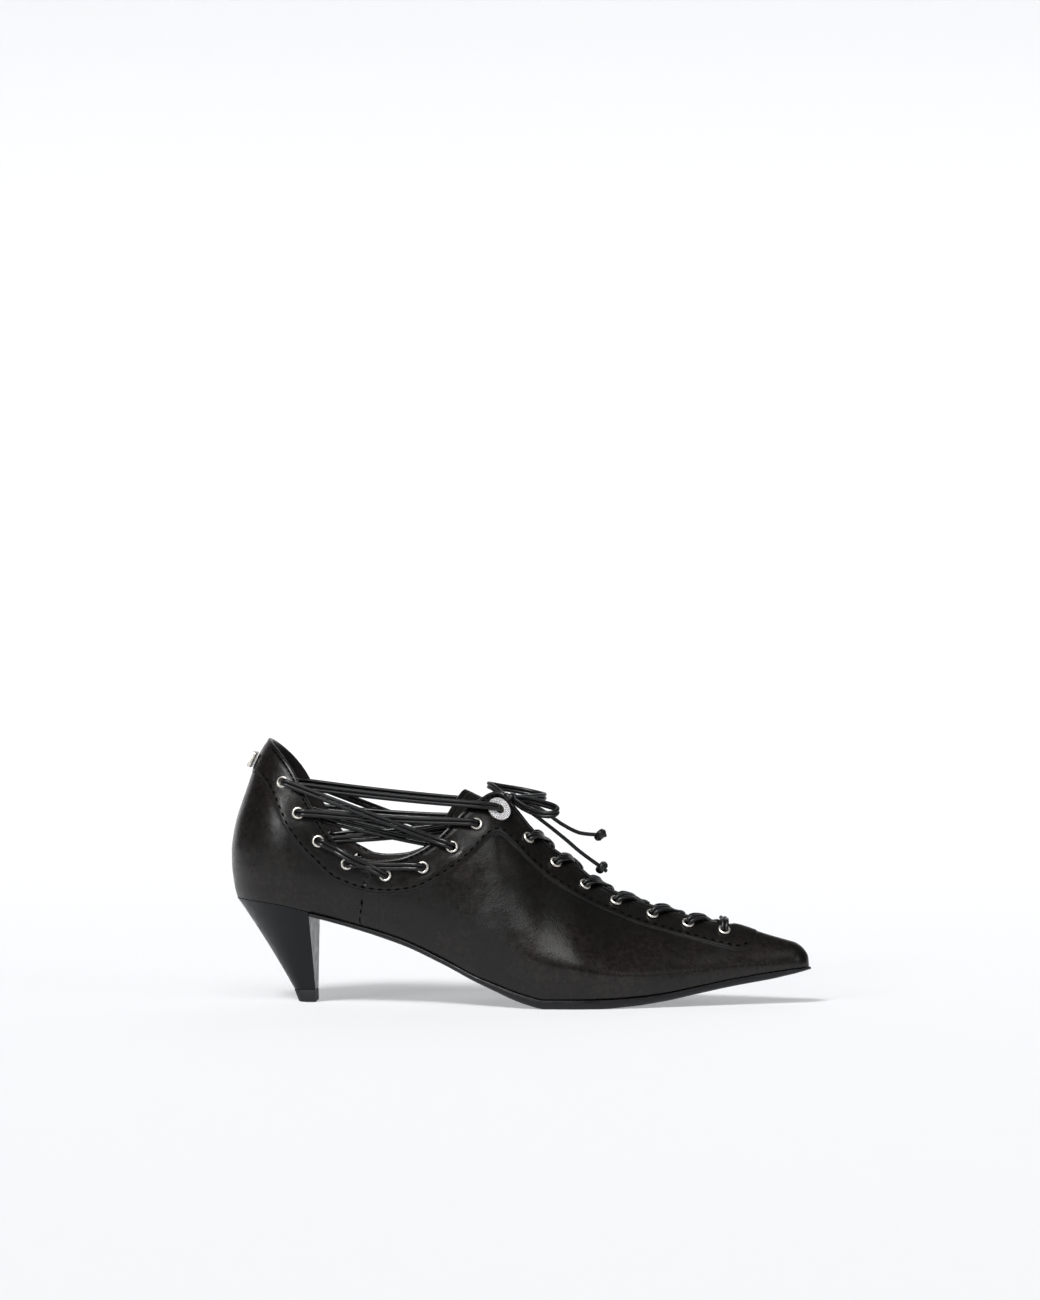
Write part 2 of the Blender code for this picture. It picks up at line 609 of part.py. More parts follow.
def tongue_point(at, across, drop=0.0):
    """A point of the tongue's top face, across from -1 to 1 of its half width."""
    crown, half, slope = (float(eased(TONGUE[:, 0], TONGUE[:, k], at)) for k in (1, 2, 3))
    y = across * half
    fall = slope * (math.hypot(y, TONGUE_CROWN_RADIUS) - TONGUE_CROWN_RADIUS)
    fade = max(1 - (at - TONGUE[0, 0]) / TONGUE_SWEEP_REACH, 0)
    return (at - TONGUE_SWEEP * abs(across) ** 1.1 * fade, y, crown - fall - drop)


def build_tongue():
    """The thin tongue under the facings and the lacing."""
    stations = np.linspace(TONGUE[0, 0], TONGUE[-1, 0], 13)
    across = np.linspace(-1, 1, 7)
    points = []
    for at in stations:
        points += [tongue_point(at, a) for a in across]
        for a in across[::-1]:
            y = a * float(eased(TONGUE[:, 0], TONGUE[:, 2], at))
            slope = float(eased(TONGUE[:, 0], TONGUE[:, 3], at)) * y / math.hypot(y, TONGUE_CROWN_RADIUS)
            points.append(tongue_point(at, a, TONGUE_THICKNESS * math.hypot(1, slope)))
    node("tongue", mesh_of("tongue", points, tube_faces(len(stations), 2 * len(across))), "lining", 40)


def strand(points, normals):
    """A doubled cord as one flat oval tube, with its flat face to the normals."""
    out = []
    for i, (point, normal) in enumerate(zip(points, normals)):
        ahead = (points[min(i + 1, len(points) - 1)] - points[max(i - 1, 0)]).normalized()
        across = ahead.cross(normal).normalized()
        thin = across.cross(ahead).normalized()
        for k in range(STRAND_SIDES):
            a = 2 * math.pi * (k + 0.5) / STRAND_SIDES
            wide, deep = STRAND_WIDTH / 2 * math.cos(a), STRAND_THICKNESS / 2 * math.sin(a)
            out.append(point + across * wide + thin * deep)
    return out, tube_faces(len(points), STRAND_SIDES)


def side_route(row, side):
    """One run of the side lacing as points and normals: over the leather, and straight across the opening."""
    places = (*SIDE_EYELETS, TOP_EYELET)
    start, leave, meet, end, start_face, end_face = row
    (x0, z0), (x1, z1) = places[start - 1], places[end - 1]
    lifts = {1: OUTSIDE_LIFT, -1: INSIDE_LIFT}
    end_lift = TOP_LIFT_OFF if end == len(places) else lifts[end_face]
    stops = []
    for x, lift in ((x0, lifts[start_face]), (leave, lifts[start_face]), (meet, end_lift), (x1, end_lift)):
        z = z0 + (z1 - z0) * (x - x0) / (x1 - x0)
        stops.append(on_wall(x, z, side, lift))
    (a, na), (b, nb), (c, nc), (d, nd) = stops
    middle = [(b.lerp(c, t), nb.lerp(nc, t).normalized()) for t in (0.25, 0.5, 0.75)]
    whole = [(a, na), (a.lerp(b, 0.5) + na * 0.15, na.lerp(nb, 0.5)), (b, nb), *middle, (c, nc), (d, nd)]
    return [p for p, _ in whole], [n for _, n in whole]


def joined_node(name, strands):
    """Strands that cross, joined into one solid."""
    first, *others = strands
    made = node(name, mesh_of(name, *first), "cord", 50)
    for i, (points, faces) in enumerate(others):
        boolean(made, helper(f"{name}_strand_{i}", mesh_of(f"{name}_strand_{i}", points, faces)), "UNION")


def threaded(x, z, side):
    """The cord's short way through an eyelet, from the run outside to the one inside."""
    low, normal = on_wall(x, z, side, INSIDE_LIFT)
    high = on_wall(x, z, side, OUTSIDE_LIFT)[0]
    turn, sides = normal.to_track_quat("Z", "Y"), 8
    points = []
    for centre in (low, high):
        for i in range(sides):
            a = 2 * math.pi * i / sides
            points.append(centre + turn @ Vector((THREAD_RADIUS * math.cos(a), THREAD_RADIUS * math.sin(a), 0)))
    return points, tube_faces(2, sides)


def build_side_laces():
    """The cord of each open side, joined where its runs cross and where it goes through an eyelet."""
    for word, side in SIDES.items():
        runs = [strand(*side_route(row, side)) for row in SIDE_RUNS]
        ways = [threaded(*SIDE_EYELETS[i - 1], side) for i in THREADED]
        joined_node(f"lace_side_{word}", [*runs, *ways])


def throat_edge(x, side, lift, outwards=1.0):
    """A point over the facing's edge at x."""
    half = float(eased(THROAT[:, 0], THROAT[:, 1], x)) * outwards
    low, high = 1.0, 2.0
    for _ in range(30):
        rise = (low + high) / 2
        low, high = (rise, high) if abs(wall_point(x, rise, side)[1]) > half else (low, rise)
    point = wall_point(x, rise, side)
    return on_wall(point[0], point[2], side, lift)


def crossing_strand(start, stop, side):
    """One half of a crossing: from an eyelet over the gap to the edge of the other facing."""
    (x0, z0), (x1, _) = start, stop
    pitch = x1 - x0
    hole, hole_normal = on_wall(x0, z0, side, OUTSIDE_LIFT)
    near, near_normal = throat_edge(x0 + 0.34 * pitch, side, 1.9)
    far, far_normal = throat_edge(x0 + 0.74 * pitch, -side, 1.7, 1.25)
    x_mid = x0 + 0.57 * pitch
    crest = Vector((x_mid, 0.0, float(ridge_height(x_mid)) + 1.3))
    points = [hole, hole.lerp(near, 0.5) + hole_normal * 0.3, near, crest, far]
    up = Vector((0.35, 0, 1)).normalized()
    return strand(points, [hole_normal, hole_normal.lerp(near_normal, 0.5), near_normal, up, far_normal])


def build_front_laces():
    """A crossing for each step of the front lacing, and the bar that starts it at the toe."""
    for i, (start, stop) in enumerate(zip(FRONT_EYELETS, FRONT_EYELETS[1:]), 1):
        joined_node(f"lace_front_{i}", [crossing_strand(start, stop, side) for side in (LATERAL, MEDIAL)])
    x, z = FRONT_EYELETS[-1]
    halves = []
    for side in (LATERAL, MEDIAL):
        hole, hole_normal = on_wall(x, z, side, OUTSIDE_LIFT)
        edge, edge_normal = throat_edge(x - 0.4, side, 2.1)
        halves.append([(hole, hole_normal), (edge, edge_normal)])
    crest = (Vector((x - 0.6, 0.0, float(ridge_height(x - 0.6)) + 2.0)), Vector((0.2, 0, 1)).normalized())
    whole = [*halves[0], crest, *halves[1][::-1]]
    joined_node("lace_front_bar", [strand([p for p, _ in whole], [n for _, n in whole])])
    halves = [
        [on_wall(*TOP_EYELET, side, INSIDE_LIFT), throat_edge(TIE_EDGE, side, INSIDE_LIFT)]
        for side in (LATERAL, MEDIAL)
    ]
    whole = [*halves[0], (Vector(TIE_CREST), Vector((0, 0, 1))), *halves[1][::-1]]
    joined_node("lace_front_tie", [strand([p for p, _ in whole], [n for _, n in whole])])


def cord_tube(name, route):
    """A single cord as a bevelled curve along its route."""
    curve = bpy.data.curves.new(name, "CURVE")
    curve.dimensions = "3D"
    spline = curve.splines.new("POLY")
    points = through(route, CORD_POINT_STEP)
    spline.points.add(len(points) - 1)
    for target, point in zip(spline.points, points):
        target.co = (*((point - ORIGIN) * MM), 1.0)
    curve.bevel_depth = CORD / 2 * MM
    curve.bevel_resolution = 2
    curve.use_fill_caps = True
    return node(name, curve, "cord")


def ball_mesh(name, centre, radii, rings=6, sides=10):
    """A rounded knot, as an ellipsoid."""
    points = [(centre[0], centre[1], centre[2] - radii[2])]
    for r in range(1, rings):
        a = math.pi * r / rings
        for k in range(sides):
            b = 2 * math.pi * k / sides
            points.append((
                centre[0] + radii[0] * math.sin(a) * math.cos(b),
                centre[1] + radii[1] * math.sin(a) * math.sin(b),
                centre[2] - radii[2] * math.cos(a),
            ))
    points.append((centre[0], centre[1], centre[2] + radii[2]))
    last = len(points) - 1
    faces = [(0, 1 + (k + 1) % sides, 1 + k) for k in range(sides)]
    faces += [
        (1 + r * sides + k, 1 + r * sides + (k + 1) % sides,
         1 + (r + 1) * sides + (k + 1) % sides, 1 + (r + 1) * sides + k)
        for r in range(rings - 2)
        for k in range(sides)
    ]
    ring = 1 + (rings - 2) * sides
    faces += [(last, ring + k, ring + (k + 1) % sides) for k in range(sides)]
    return mesh_of(name, points, faces)


def beyond(route, reach):
    """The point past a route's end, straight on."""
    a, b = Vector(route[-2]), Vector(route[-1])
    return b + (b - a).normalized() * reach


def from_knot(point):
    """Where a cord towards a point leaves the knot."""
    ahead = (Vector(point) - Vector(KNOT)).normalized()
    reach = 1 / math.sqrt(sum((a / r) ** 2 for a, r in zip(ahead, KNOT_RADII)))
    return Vector(KNOT) + ahead * (reach + GAP)


def build_bow():
    """The knot at the throat, its two loops, and two ends that finish in knots."""
    node("bow_knot", ball_mesh("bow_knot", KNOT, KNOT_RADII), "cord")
    for word, route in (("medial", LOOP_FAR), ("lateral", LOOP_NEAR)):
        cord_tube(f"bow_loop_{word}", (from_knot(route[0]), *route, from_knot(route[-1])))
    for word, route in (("upper", END_UPPER), ("lower", END_LOWER)):
        cord_tube(f"lace_end_{word}", (from_knot(route[0]), *route))
        centre = beyond(route, END_KNOT_RADIUS + GAP)
        radii = (END_KNOT_RADIUS, END_KNOT_RADIUS, END_KNOT_RADIUS)
        node(f"lace_end_knot_{word}", ball_mesh(f"lace_end_knot_{word}", centre, radii, 5, 8), "cord")


def build_badge():
    """The bare metal bar on the back of the collar, along the leather's slope."""
    def back(z):
        return float(eased(BACK_CURVE[:, 0], BACK_CURVE[:, 1], z))

    low, high = BADGE_Z - BADGE_HEIGHT / 2, BADGE_Z + BADGE_HEIGHT / 2
    up = Vector((back(high) - back(low), 0, high - low)).normalized()
    out = Vector((-up.z, 0, up.x))
    centre = Vector((back(BADGE_Z), 0, BADGE_Z))
    bow = max((Vector((back(z), 0, z)) - centre).dot(out) for z in (low, high))
    middle = centre + out * (GAP + max(bow, 0) + BADGE_THICKNESS / 2)
    mesh = bpy.data.meshes.new("heel_badge")
    built = bmesh.new()
    bmesh.ops.create_cube(built, size=1.0)
    built.to_mesh(mesh)
    built.free()
    size = Matrix.Diagonal((BADGE_THICKNESS * MM, BADGE_WIDTH * MM, BADGE_HEIGHT * MM, 1))
    mesh.transform(size)
    made = node("heel_badge", mesh, "steel", 30)
    made.rotation_mode = "QUATERNION"
    made.rotation_quaternion = Matrix((out, Vector((0, -1, 0)), up)).transposed().to_quaternion()
    made.location = (middle - ORIGIN) * MM
    bevel = made.modifiers.new("edges", "BEVEL")
    bevel.width = 0.5 * MM
    bevel.segments = 1


def main():
    for old in list(bpy.data.objects):
        bpy.data.objects.remove(old)
    build_upper()
    build_outsole()
    build_heel()
    build_insole()
    build_tongue()
    build_eyelets()
    build_side_laces()
    build_front_laces()
    build_bow()
    build_badge()


main()
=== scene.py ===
"""Dresses the lace up heel: leather, linings, seams, stitches, eyelets, crystals and the leather cord.

The tables and functions of the last work in millimetres, as the part's source does, with "at" the
distance in front of the heel's back. mesh_of() turns them into metres.
"""

import math

import bmesh
import bpy
import numpy as np
from bpy.props import FloatProperty, FloatVectorProperty, IntProperty, PointerProperty
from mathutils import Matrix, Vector, noise


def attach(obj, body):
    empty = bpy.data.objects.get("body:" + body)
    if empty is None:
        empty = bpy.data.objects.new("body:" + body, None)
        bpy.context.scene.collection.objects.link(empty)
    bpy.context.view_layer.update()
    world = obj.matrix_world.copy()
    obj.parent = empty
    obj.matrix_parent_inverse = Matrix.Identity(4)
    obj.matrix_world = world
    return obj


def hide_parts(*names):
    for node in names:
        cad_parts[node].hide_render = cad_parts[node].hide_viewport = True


bl_info = {
    "name": "Lace Up Heel",
    "version": (1, 0, 0),
    "blender": (4, 5, 0),
    "location": "View3D > Sidebar > Shoe",
    "description": "Dresses the lace up heel piece by piece",
    "category": "Object",
}

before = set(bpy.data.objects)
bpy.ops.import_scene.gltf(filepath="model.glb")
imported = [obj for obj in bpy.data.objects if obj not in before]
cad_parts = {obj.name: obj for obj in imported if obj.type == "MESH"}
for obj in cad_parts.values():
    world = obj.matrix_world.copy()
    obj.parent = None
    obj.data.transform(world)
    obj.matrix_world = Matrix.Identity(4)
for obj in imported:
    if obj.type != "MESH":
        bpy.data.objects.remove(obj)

MM = 0.001
LENGTH = 265.0
ORIGIN = np.array((133.1, -0.6, 0.0))
LATERAL, MEDIAL = -1, 1
SIDES = {"lateral": LATERAL, "medial": MEDIAL}
HEEL_ROUND, TOE_ROUND = 34.0, 7.0
GIRTH_RISE = 0.22
LEAN_REACH = 95.0
TOE_STUB = 0.35

SECTION_COLUMNS = (
    "at", "feather", "sole", "ridge", "lateral", "medial", "tread_lateral", "tread_medial", "side", "crown",
)
SECTIONS = np.array((
    (0, 48.0, 2.0, 131.0, 30.0, 30.0, 26.0, 26.0, 0.55, 0.60),
    (20, 46.3, 2.0, 130.5, 30.8, 30.5, 27.0, 26.5, 0.52, 0.60),
    (40, 42.0, 2.0, 129.5, 31.0, 30.0, 26.0, 25.0, 0.50, 0.58),
    (60, 36.8, 2.3, 128.0, 30.0, 28.4, 24.5, 21.5, 0.45, 0.55),
    (80, 30.6, 2.8, 126.0, 29.8, 27.4, 24.0, 19.0, 0.40, 0.52),
    (100, 21.6, 2.8, 121.0, 31.4, 28.8, 26.5, 20.5, 0.34, 0.48),
    (115, 14.2, 3.0, 112.0, 34.2, 31.2, 30.0, 25.0, 0.30, 0.45),
    (124, 10.8, 3.6, 103.5, 36.4, 33.4, 32.5, 28.0, 0.28, 0.42),
    (131, 8.3, 4.1, 93.5, 38.2, 35.2, 34.8, 30.8, 0.25, 0.36),
    (138, 6.2, 4.4, 84.0, 39.8, 36.9, 36.6, 33.0, 0.23, 0.30),
    (146, 4.5, 4.5, 76.0, 41.0, 38.6, 38.0, 35.2, 0.20, 0.22),
    (158, 4.5, 4.5, 66.5, 41.3, 40.0, 38.3, 37.0, 0.20, 0.18),
    (170, 4.5, 4.5, 56.5, 39.4, 39.6, 36.5, 36.8, 0.20, 0.16),
    (185, 5.0, 4.1, 49.2, 34.6, 35.4, 31.8, 32.8, 0.20, 0.16),
    (200, 6.6, 3.7, 44.4, 28.8, 29.6, 26.4, 27.3, 0.22, 0.16),
    (215, 9.4, 3.5, 40.3, 22.9, 23.5, 21.0, 21.7, 0.25, 0.18),
    (230, 12.3, 3.5, 36.9, 17.3, 17.7, 15.8, 16.3, 0.30, 0.20),
    (245, 14.6, 3.4, 32.4, 12.1, 12.3, 11.0, 11.3, 0.36, 0.30),
    (256, 16.0, 2.6, 29.2, 8.6, 8.7, 7.7, 7.8, 0.45, 0.42),
    (265, 17.0, 1.5, 26.5, 6.2, 6.2, 5.4, 5.4, 0.50, 0.50),
))
# The back's curve: each height, and how far in front of the heel's back it lies there.
BACK_CURVE = np.array((
    (48.0, 3.5), (52.0, 2.2), (57.0, 1.1), (63.0, 0.5), (69.0, 0.4), (75.0, 1.0), (82.0, 2.3),
    (91.0, 5.0), (99.0, 7.8), (107.0, 10.6), (114.0, 13.8), (121.4, 18.5), (131.0, 25.5),
))
# The topline's points and the eyelets' middles are (x, z), as seen from the side.
TOPLINE = np.array((
    (15.0, 124.5), (17.8, 121.2), (22.2, 117.2), (27.2, 111.9), (31.3, 106.4), (35.0, 99.9), (39.7, 91.3),
    (43.2, 85.9), (48.0, 78.4), (54.0, 72.1), (62.5, 67.3), (70.5, 66.3), (78.5, 66.9), (86.1, 69.3),
    (94.5, 74.3), (102.8, 82.0), (110.0, 89.6), (115.0, 93.2), (119.5, 95.7), (123.9, 96.5), (127.0, 95.3),
    (129.6, 91.5),
))
# The throat's half widths. Its top is narrower than the part's, so that lobes stand above the large rings.
THROAT = np.array((
    (112.0, 10.5), (123.0, 9.5), (129.6, 7.8), (134.0, 6.9), (139.0, 6.4), (146.0, 5.8), (158.0, 4.9),
    (175.0, 4.0), (195.0, 3.4), (215.0, 3.0), (227.0, 2.6),
))
THROAT_END = 230.6
SIDE_EYELETS = (
    (26.8, 101.1), (34.4, 87.3), (43.7, 74.7), (56.6, 64.6), (73.9, 59.5), (90.8, 63.0), (103.9, 72.2),
    (114.6, 82.4),
)
FRONT_EYELETS = (
    (137.6, 75.6), (149.9, 64.4), (163.2, 54.4), (177.2, 47.0), (193.8, 41.0), (209.9, 36.8), (226.4, 33.7),
)
TOP_EYELET = (124.3, 88.6)
# The tongue: distance along the last, height of its middle, half width, and how steeply its sides fall.
TONGUE = np.array((
    (108.5, 97.2, 15.5, 1.10), (116.0, 93.6, 15.0, 1.30), (124.0, 89.6, 14.0, 1.55),
    (131.0, 84.0, 13.0, 1.60), (138.0, 77.6, 12.5, 1.50), (146.0, 70.8, 12.0, 1.35),
    (158.0, 61.6, 11.5, 1.22), (170.0, 52.0, 11.0, 1.10), (185.0, 44.6, 10.5, 1.00),
    (200.0, 39.8, 9.8, 0.95), (215.0, 35.6, 9.0, 0.92), (226.0, 32.6, 8.0, 0.92),
))
TONGUE_CROWN_RADIUS = 5.0
TONGUE_SWEEP, TONGUE_SWEEP_REACH, TONGUE_FINE_TO, TONGUE_WALL = 8.0, 22.0, 112.0, 1.2
BREAST_AT = 38.8
HEEL_TIP_BACK, HEEL_TIP_FRONT, HEEL_TIP_WIDTH, HEEL_TIP_ROUND = 29.6, 40.0, 7.2, 5.0
LIFT_HEIGHT, LIFT_FOOT_BACK, LIFT_FOOT_FRONT, LIFT_FOOT_WIDTH = 6.0, 31.8, 40.2, 6.5
LIFT_HALF_WIDTH = 7.0
HEEL_WAIST = 0.12
SOLE_MARGIN = 0.8
INSOLE_MARGIN, INSOLE_FROM, INSOLE_TO = 2.5, 3.2, 257.0
INSOLE_THICKNESS, INSOLE_LEAN, INSOLE_HEEL_ROUND = 2.0, 3.5, HEEL_ROUND - 4
GAP = 0.3

# The lower edge of the trim and the facing, seen from the side, and the step that it stands up by.
TRIM_EDGE = np.array((
    (9.0, 105.8), (15.4, 104.4), (20.4, 98.2), (25.4, 87.8), (28.6, 81.2), (36.6, 70.8), (42.7, 64.9),
    (49.2, 58.8), (56.7, 55.0), (64.8, 52.6), (73.0, 51.7), (81.6, 52.1), (89.5, 54.0), (97.6, 58.1),
    (104.4, 62.4), (110.5, 67.3), (116.0, 72.8), (120.3, 77.3), (124.1, 79.0), (127.9, 77.2), (132.4, 72.8),
    (137.5, 67.2), (146.6, 58.9), (158.8, 51.0), (167.2, 46.4), (175.6, 42.6), (187.3, 37.8), (199.0, 34.4),
    (212.5, 30.7), (225.0, 27.5), (233.0, 25.9), (238.0, 27.2), (240.4, 31.5), (240.9, 36.5),
))
TRIM_STEP, STEP_FADE = 0.5, 8.0
SIDE_SEAM = ((64.9, 60.5), (64.4, 57.0), (63.8, 54.5), (63.4, 48.8), (62.4, 41.0), (61.9, 37.2))
SIDE_SEAM_PAIR = ((67.0, 60.6), (65.8, 57.0), (64.2, 53.9))
FACING_JOIN = ((184.3, 46.0), (183.2, 39.6))

# Each run of the side lacing: its first eyelet, the x where it leaves the leather, the x where it meets it
# again, its last eyelet, whether it starts and ends over the leather (1) or under it (-1), and its bulge.
CORD = 1.8
SIDE_RUNS = (
    (1, 37.0, 96.0, 7, 1, 1, 1.6),
    (2, 44.5, 103.5, 8, 1, 1, -0.4),
    (3, 51.5, 65.5, 5, 1, 1, 1.8),
    (4, 62.5, 82.5, 6, 1, 1, 0.0),
    (2, 45.5, 97.5, 7, -1, -1, 0.4),
    (3, 53.0, 102.0, 8, -1, -1, -1.6),
    (1, 35.5, 112.0, 9, -1, 1, -0.2),
)
# How far above the last a run passes the leather's edge, how much it sags, and eyelet 9, the large ring,
# by which it passes higher.
RUN_LIFTS = {1: 1.5, -1: -3.0}
RUN_SAG, LARGE_RING, LARGE_RING_LIFT = 0.5, 9, 0.9
# Where a crossing of the front lacing passes its facing's edge, the middle and the other facing's edge, as
# shares of the way to the next eyelet, and how high the upper and the lower cord pass above the tongue.
EDGE_SHARE, CREST_SHARE, UNDER_SHARE = 0.44, 0.62, 0.84
UPPER_CREST, LOWER_CREST = 3.1, 1.3
# The bow's routes, chosen along the photograph's.
KNOT = (128.8, 0.0, 92.9)
KNOT_RADII = (3.6, 4.6, 2.8)
KNOT_CORD, KNOT_CORE = 1.25, 0.72
LOOP_APART = 0.86
LOOP_FAR = (
    (125.0, 11.0, 94.0), (119.6, 18.5, 97.4), (117.4, 25.0, 98.2), (122.5, 31.0, 97.0), (133.0, 32.5, 95.2),
    (141.0, 29.0, 93.6), (143.4, 22.0, 93.0), (138.0, 13.0, 92.8),
)
LOOP_NEAR = (
    (138.0, -7.5, 92.4), (144.6, -11.6, 91.0), (149.6, -15.2, 89.6), (151.2, -19.0, 88.0),
    (148.2, -22.0, 86.6), (141.8, -19.6, 87.2), (135.6, -12.8, 89.4),
)
END_UPPER = (
    (138.2, 2.2, 90.0), (144.2, 4.2, 86.8), (151.5, 6.4, 81.4), (158.5, 8.2, 77.5), (163.0, 9.5, 76.4),
    (166.6, 10.2, 76.1),
)
END_LOWER = (
    (138.0, -2.6, 86.9), (146.0, -3.0, 81.0), (154.0, -2.8, 74.6), (161.0, -2.2, 68.6), (168.2, -1.6, 63.3),
)
END_KNOT_RADIUS, END_KNOT_SWELL, END_KNOT_TURN = 2.6, 0.25, 0.6
END_KNOT_CORD, END_KNOT_CORE = 1.15, 0.75

BADGE_HEIGHT, BADGE_WIDTH, BADGE_THICKNESS, BADGE_PINS, BADGE_Z = 7.6, 12.0, 2.2, 0.35, 110.2

# The photograph's camera: 3 degrees towards the toe, 3.3 above, level, with the shoe low in the frame.
# The angles are about VIEW_AIM, which is in metres, as its distance is.
VIEW_AIM = (-0.0006, 0.0, 0.0594)
VIEW_AZIMUTH, VIEW_ELEVATION, VIEW_DISTANCE = 3.0, 3.3, 1.8
PIXELS_PER_MM, FRAME_HEIGHT = 2.185, 1300
SHOE_BELOW_CENTRE, SHOE_LEFT_OF_CENTRE = 222.0, 1.5

# How strongly the paper, its wall, the studio and the background shine, and how pale the paper itself is.
PAPER_GLOW, WALL_GLOW, PAPER_SHARE = 0.365, 0.26, 0.5
WORLD_GLOW, BACKGROUND_GLOW = 0.06, 0.99


# Colours and sizes that a user may change


def linear(text):
    """A colour written as sRGB hex, as linear red, green and blue."""
    parts = [int(text[i:i + 2], 16) / 255 for i in (1, 3, 5)]
    return tuple(c / 12.92 if c <= 0.04045 else ((c + 0.055) / 1.055) ** 2.4 for c in parts)


def colour(name, description, hex_value):
    """A colour property."""
    return FloatVectorProperty(
        name=name, description=description, default=linear(hex_value), size=3, min=0, max=1, subtype="COLOR"
    )


def length(name, description, millimetres):
    """A length property, kept in metres."""
    return FloatProperty(
        name=name, description=description, default=millimetres * MM, min=0,
        subtype="DISTANCE", unit="LENGTH",
    )


class ShoeColours(bpy.types.PropertyGroup):
    """The finishes' colours."""

    leather: colour("Leather", "Black nappa of the upper", "#0c0b0a")
    leather_worn: colour("Leather, worn", "Where the nappa's finish has rubbed", "#2e2724")
    lining: colour("Lining", "Lining leather, tongue and footbed", "#1e1b1a")
    cord: colour("Cord", "Waxed leather cord", "#0b0b0d")
    thread: colour("Thread", "Bonded thread of the seams", "#020202")
    metal: colour("Metal", "Nickel of the rings and the badge", "#dad6ce")
    crystal: colour("Crystal", "Foiled stones of the large rings", "#f4f3f6")
    heel: colour("Heel", "Lacquer of the heel", "#0e1013")
    sole: colour("Sole", "Dyed sole leather", "#101012")
    rubber: colour("Rubber", "The top lift's rubber", "#1d1e20")
    paper: colour("Paper", "Studio background paper", "#fbfcfe")


class ShoeSizes(bpy.types.PropertyGroup):
    """Sizes of the details."""

    wall: length("Wall", "Leather and lining together", 1.8)
    stitch: length("Stitch", "Length of one stitch", 2.3)
    stitch_gap: length("Stitch pitch", "From one stitch to the next", 3.9)
    thread: length("Thread", "Thread's thickness", 0.8)
    crystal: length("Crystal", "Width of one stone", 1.15)
    ring_hole: length("Ring hole", "Inner radius of a small ring", 1.75)
    ring_edge: length("Ring edge", "Outer radius of a small ring", 2.8)
    top_ring_hole: length("Large ring hole", "Inner radius of a large ring", 2.2)
    top_ring_edge: length("Large ring edge", "Outer radius of a large ring", 5.6)
    seed: IntProperty(name="Seed", description="Turns of the stones", default=7, min=0)


def colours():
    """The colours, as the panel has them."""
    return bpy.context.scene.shoe_colours


def sizes():
    """The sizes, as the panel has them."""
    return bpy.context.scene.shoe_sizes


# The last, as in the part's source


def eased(xs, ys, at):
    """The smooth line through the rows at "at", which never overshoots them."""
    xs, ys, at = np.asarray(xs, float), np.asarray(ys, float), np.asarray(at, float)
    steps = np.diff(xs)
    rises = np.diff(ys) / steps
    slopes = np.concatenate(([rises[0]], np.zeros(len(xs) - 2), [rises[-1]]))
    for i in range(1, len(xs) - 1):
        if rises[i - 1] * rises[i] > 0:
            before, after = 2 * steps[i] + steps[i - 1], steps[i] + 2 * steps[i - 1]
            slopes[i] = (before + after) / (before / rises[i - 1] + after / rises[i])
    i = np.clip(np.searchsorted(xs, at, side="right") - 1, 0, len(steps) - 1)
    u = np.clip((at - xs[i]) / steps[i], 0.0, 1.0)
    return (
        (1 + 2 * u) * (1 - u) ** 2 * ys[i]
        + u * (1 - u) ** 2 * steps[i] * slopes[i]
        + u**2 * (3 - 2 * u) * ys[i + 1]
        + u**2 * (u - 1) * steps[i] * slopes[i + 1]
    )


def section(column, at):
    """One column of the last's table at "at"."""
    return eased(SECTIONS[:, 0], SECTIONS[:, SECTION_COLUMNS.index(column)], at)


def rounded_end(depth, radius):
    """The share of full width at a depth inside a round end."""
    return np.sqrt(1 - (1 - np.clip(np.asarray(depth, float) / radius, 0, 1)) ** 2)


def bezier(t, a, b, c, d):
    """A cubic curve's value at t."""
    return a * (1 - t) ** 3 + 3 * b * t * (1 - t) ** 2 + 3 * c * t**2 * (1 - t) + d * t**3


def ridge_height(at):
    """The ridge's height above the floor, which rounds down over the toe's tip."""
    low = section("feather", at)
    blunt = TOE_STUB + (1 - TOE_STUB) * rounded_end(LENGTH - np.asarray(at, float), TOE_ROUND)
    return low + (section("ridge", at) - low) * blunt


def wall_point(at, rise, side):
    """(x, y, z) on the last. rise is 0 at the feather edge, 1 at the girth and 2 at the ridge."""
    at, rise = np.broadcast_arrays(np.asarray(at, float), np.asarray(rise, float))
    name = "lateral" if side == LATERAL else "medial"
    low, high = section("feather", at), ridge_height(at)
    girth = low + GIRTH_RISE * (high - low)
    full, foot = section(name, at), section("tread_" + name, at)
    t = np.clip(rise, 0, 1)
    lower_y = bezier(t, foot, foot + 0.6 * (full - foot), full, full)
    lower_z = bezier(t, low, low + 0.15 * (girth - low), low + 0.5 * (girth - low), girth)
    t = np.clip(rise - 1, 0, 1)
    upper_y = bezier(t, full, full, section("crown", at) * full, 0)
    upper_z = bezier(t, girth, girth + section("side", at) * (high - girth), high, high)
    y, z = np.where(rise < 1, lower_y, upper_y), np.where(rise < 1, lower_z, upper_z)
    y = y * rounded_end(at, HEEL_ROUND) * rounded_end(LENGTH - at, TOE_ROUND)
    lean = eased(BACK_CURVE[:, 0], BACK_CURVE[:, 1], z) * np.clip(1 - at / LEAN_REACH, 0, 1) ** 2
    return np.stack((at + lean, side * y, z), axis=-1)


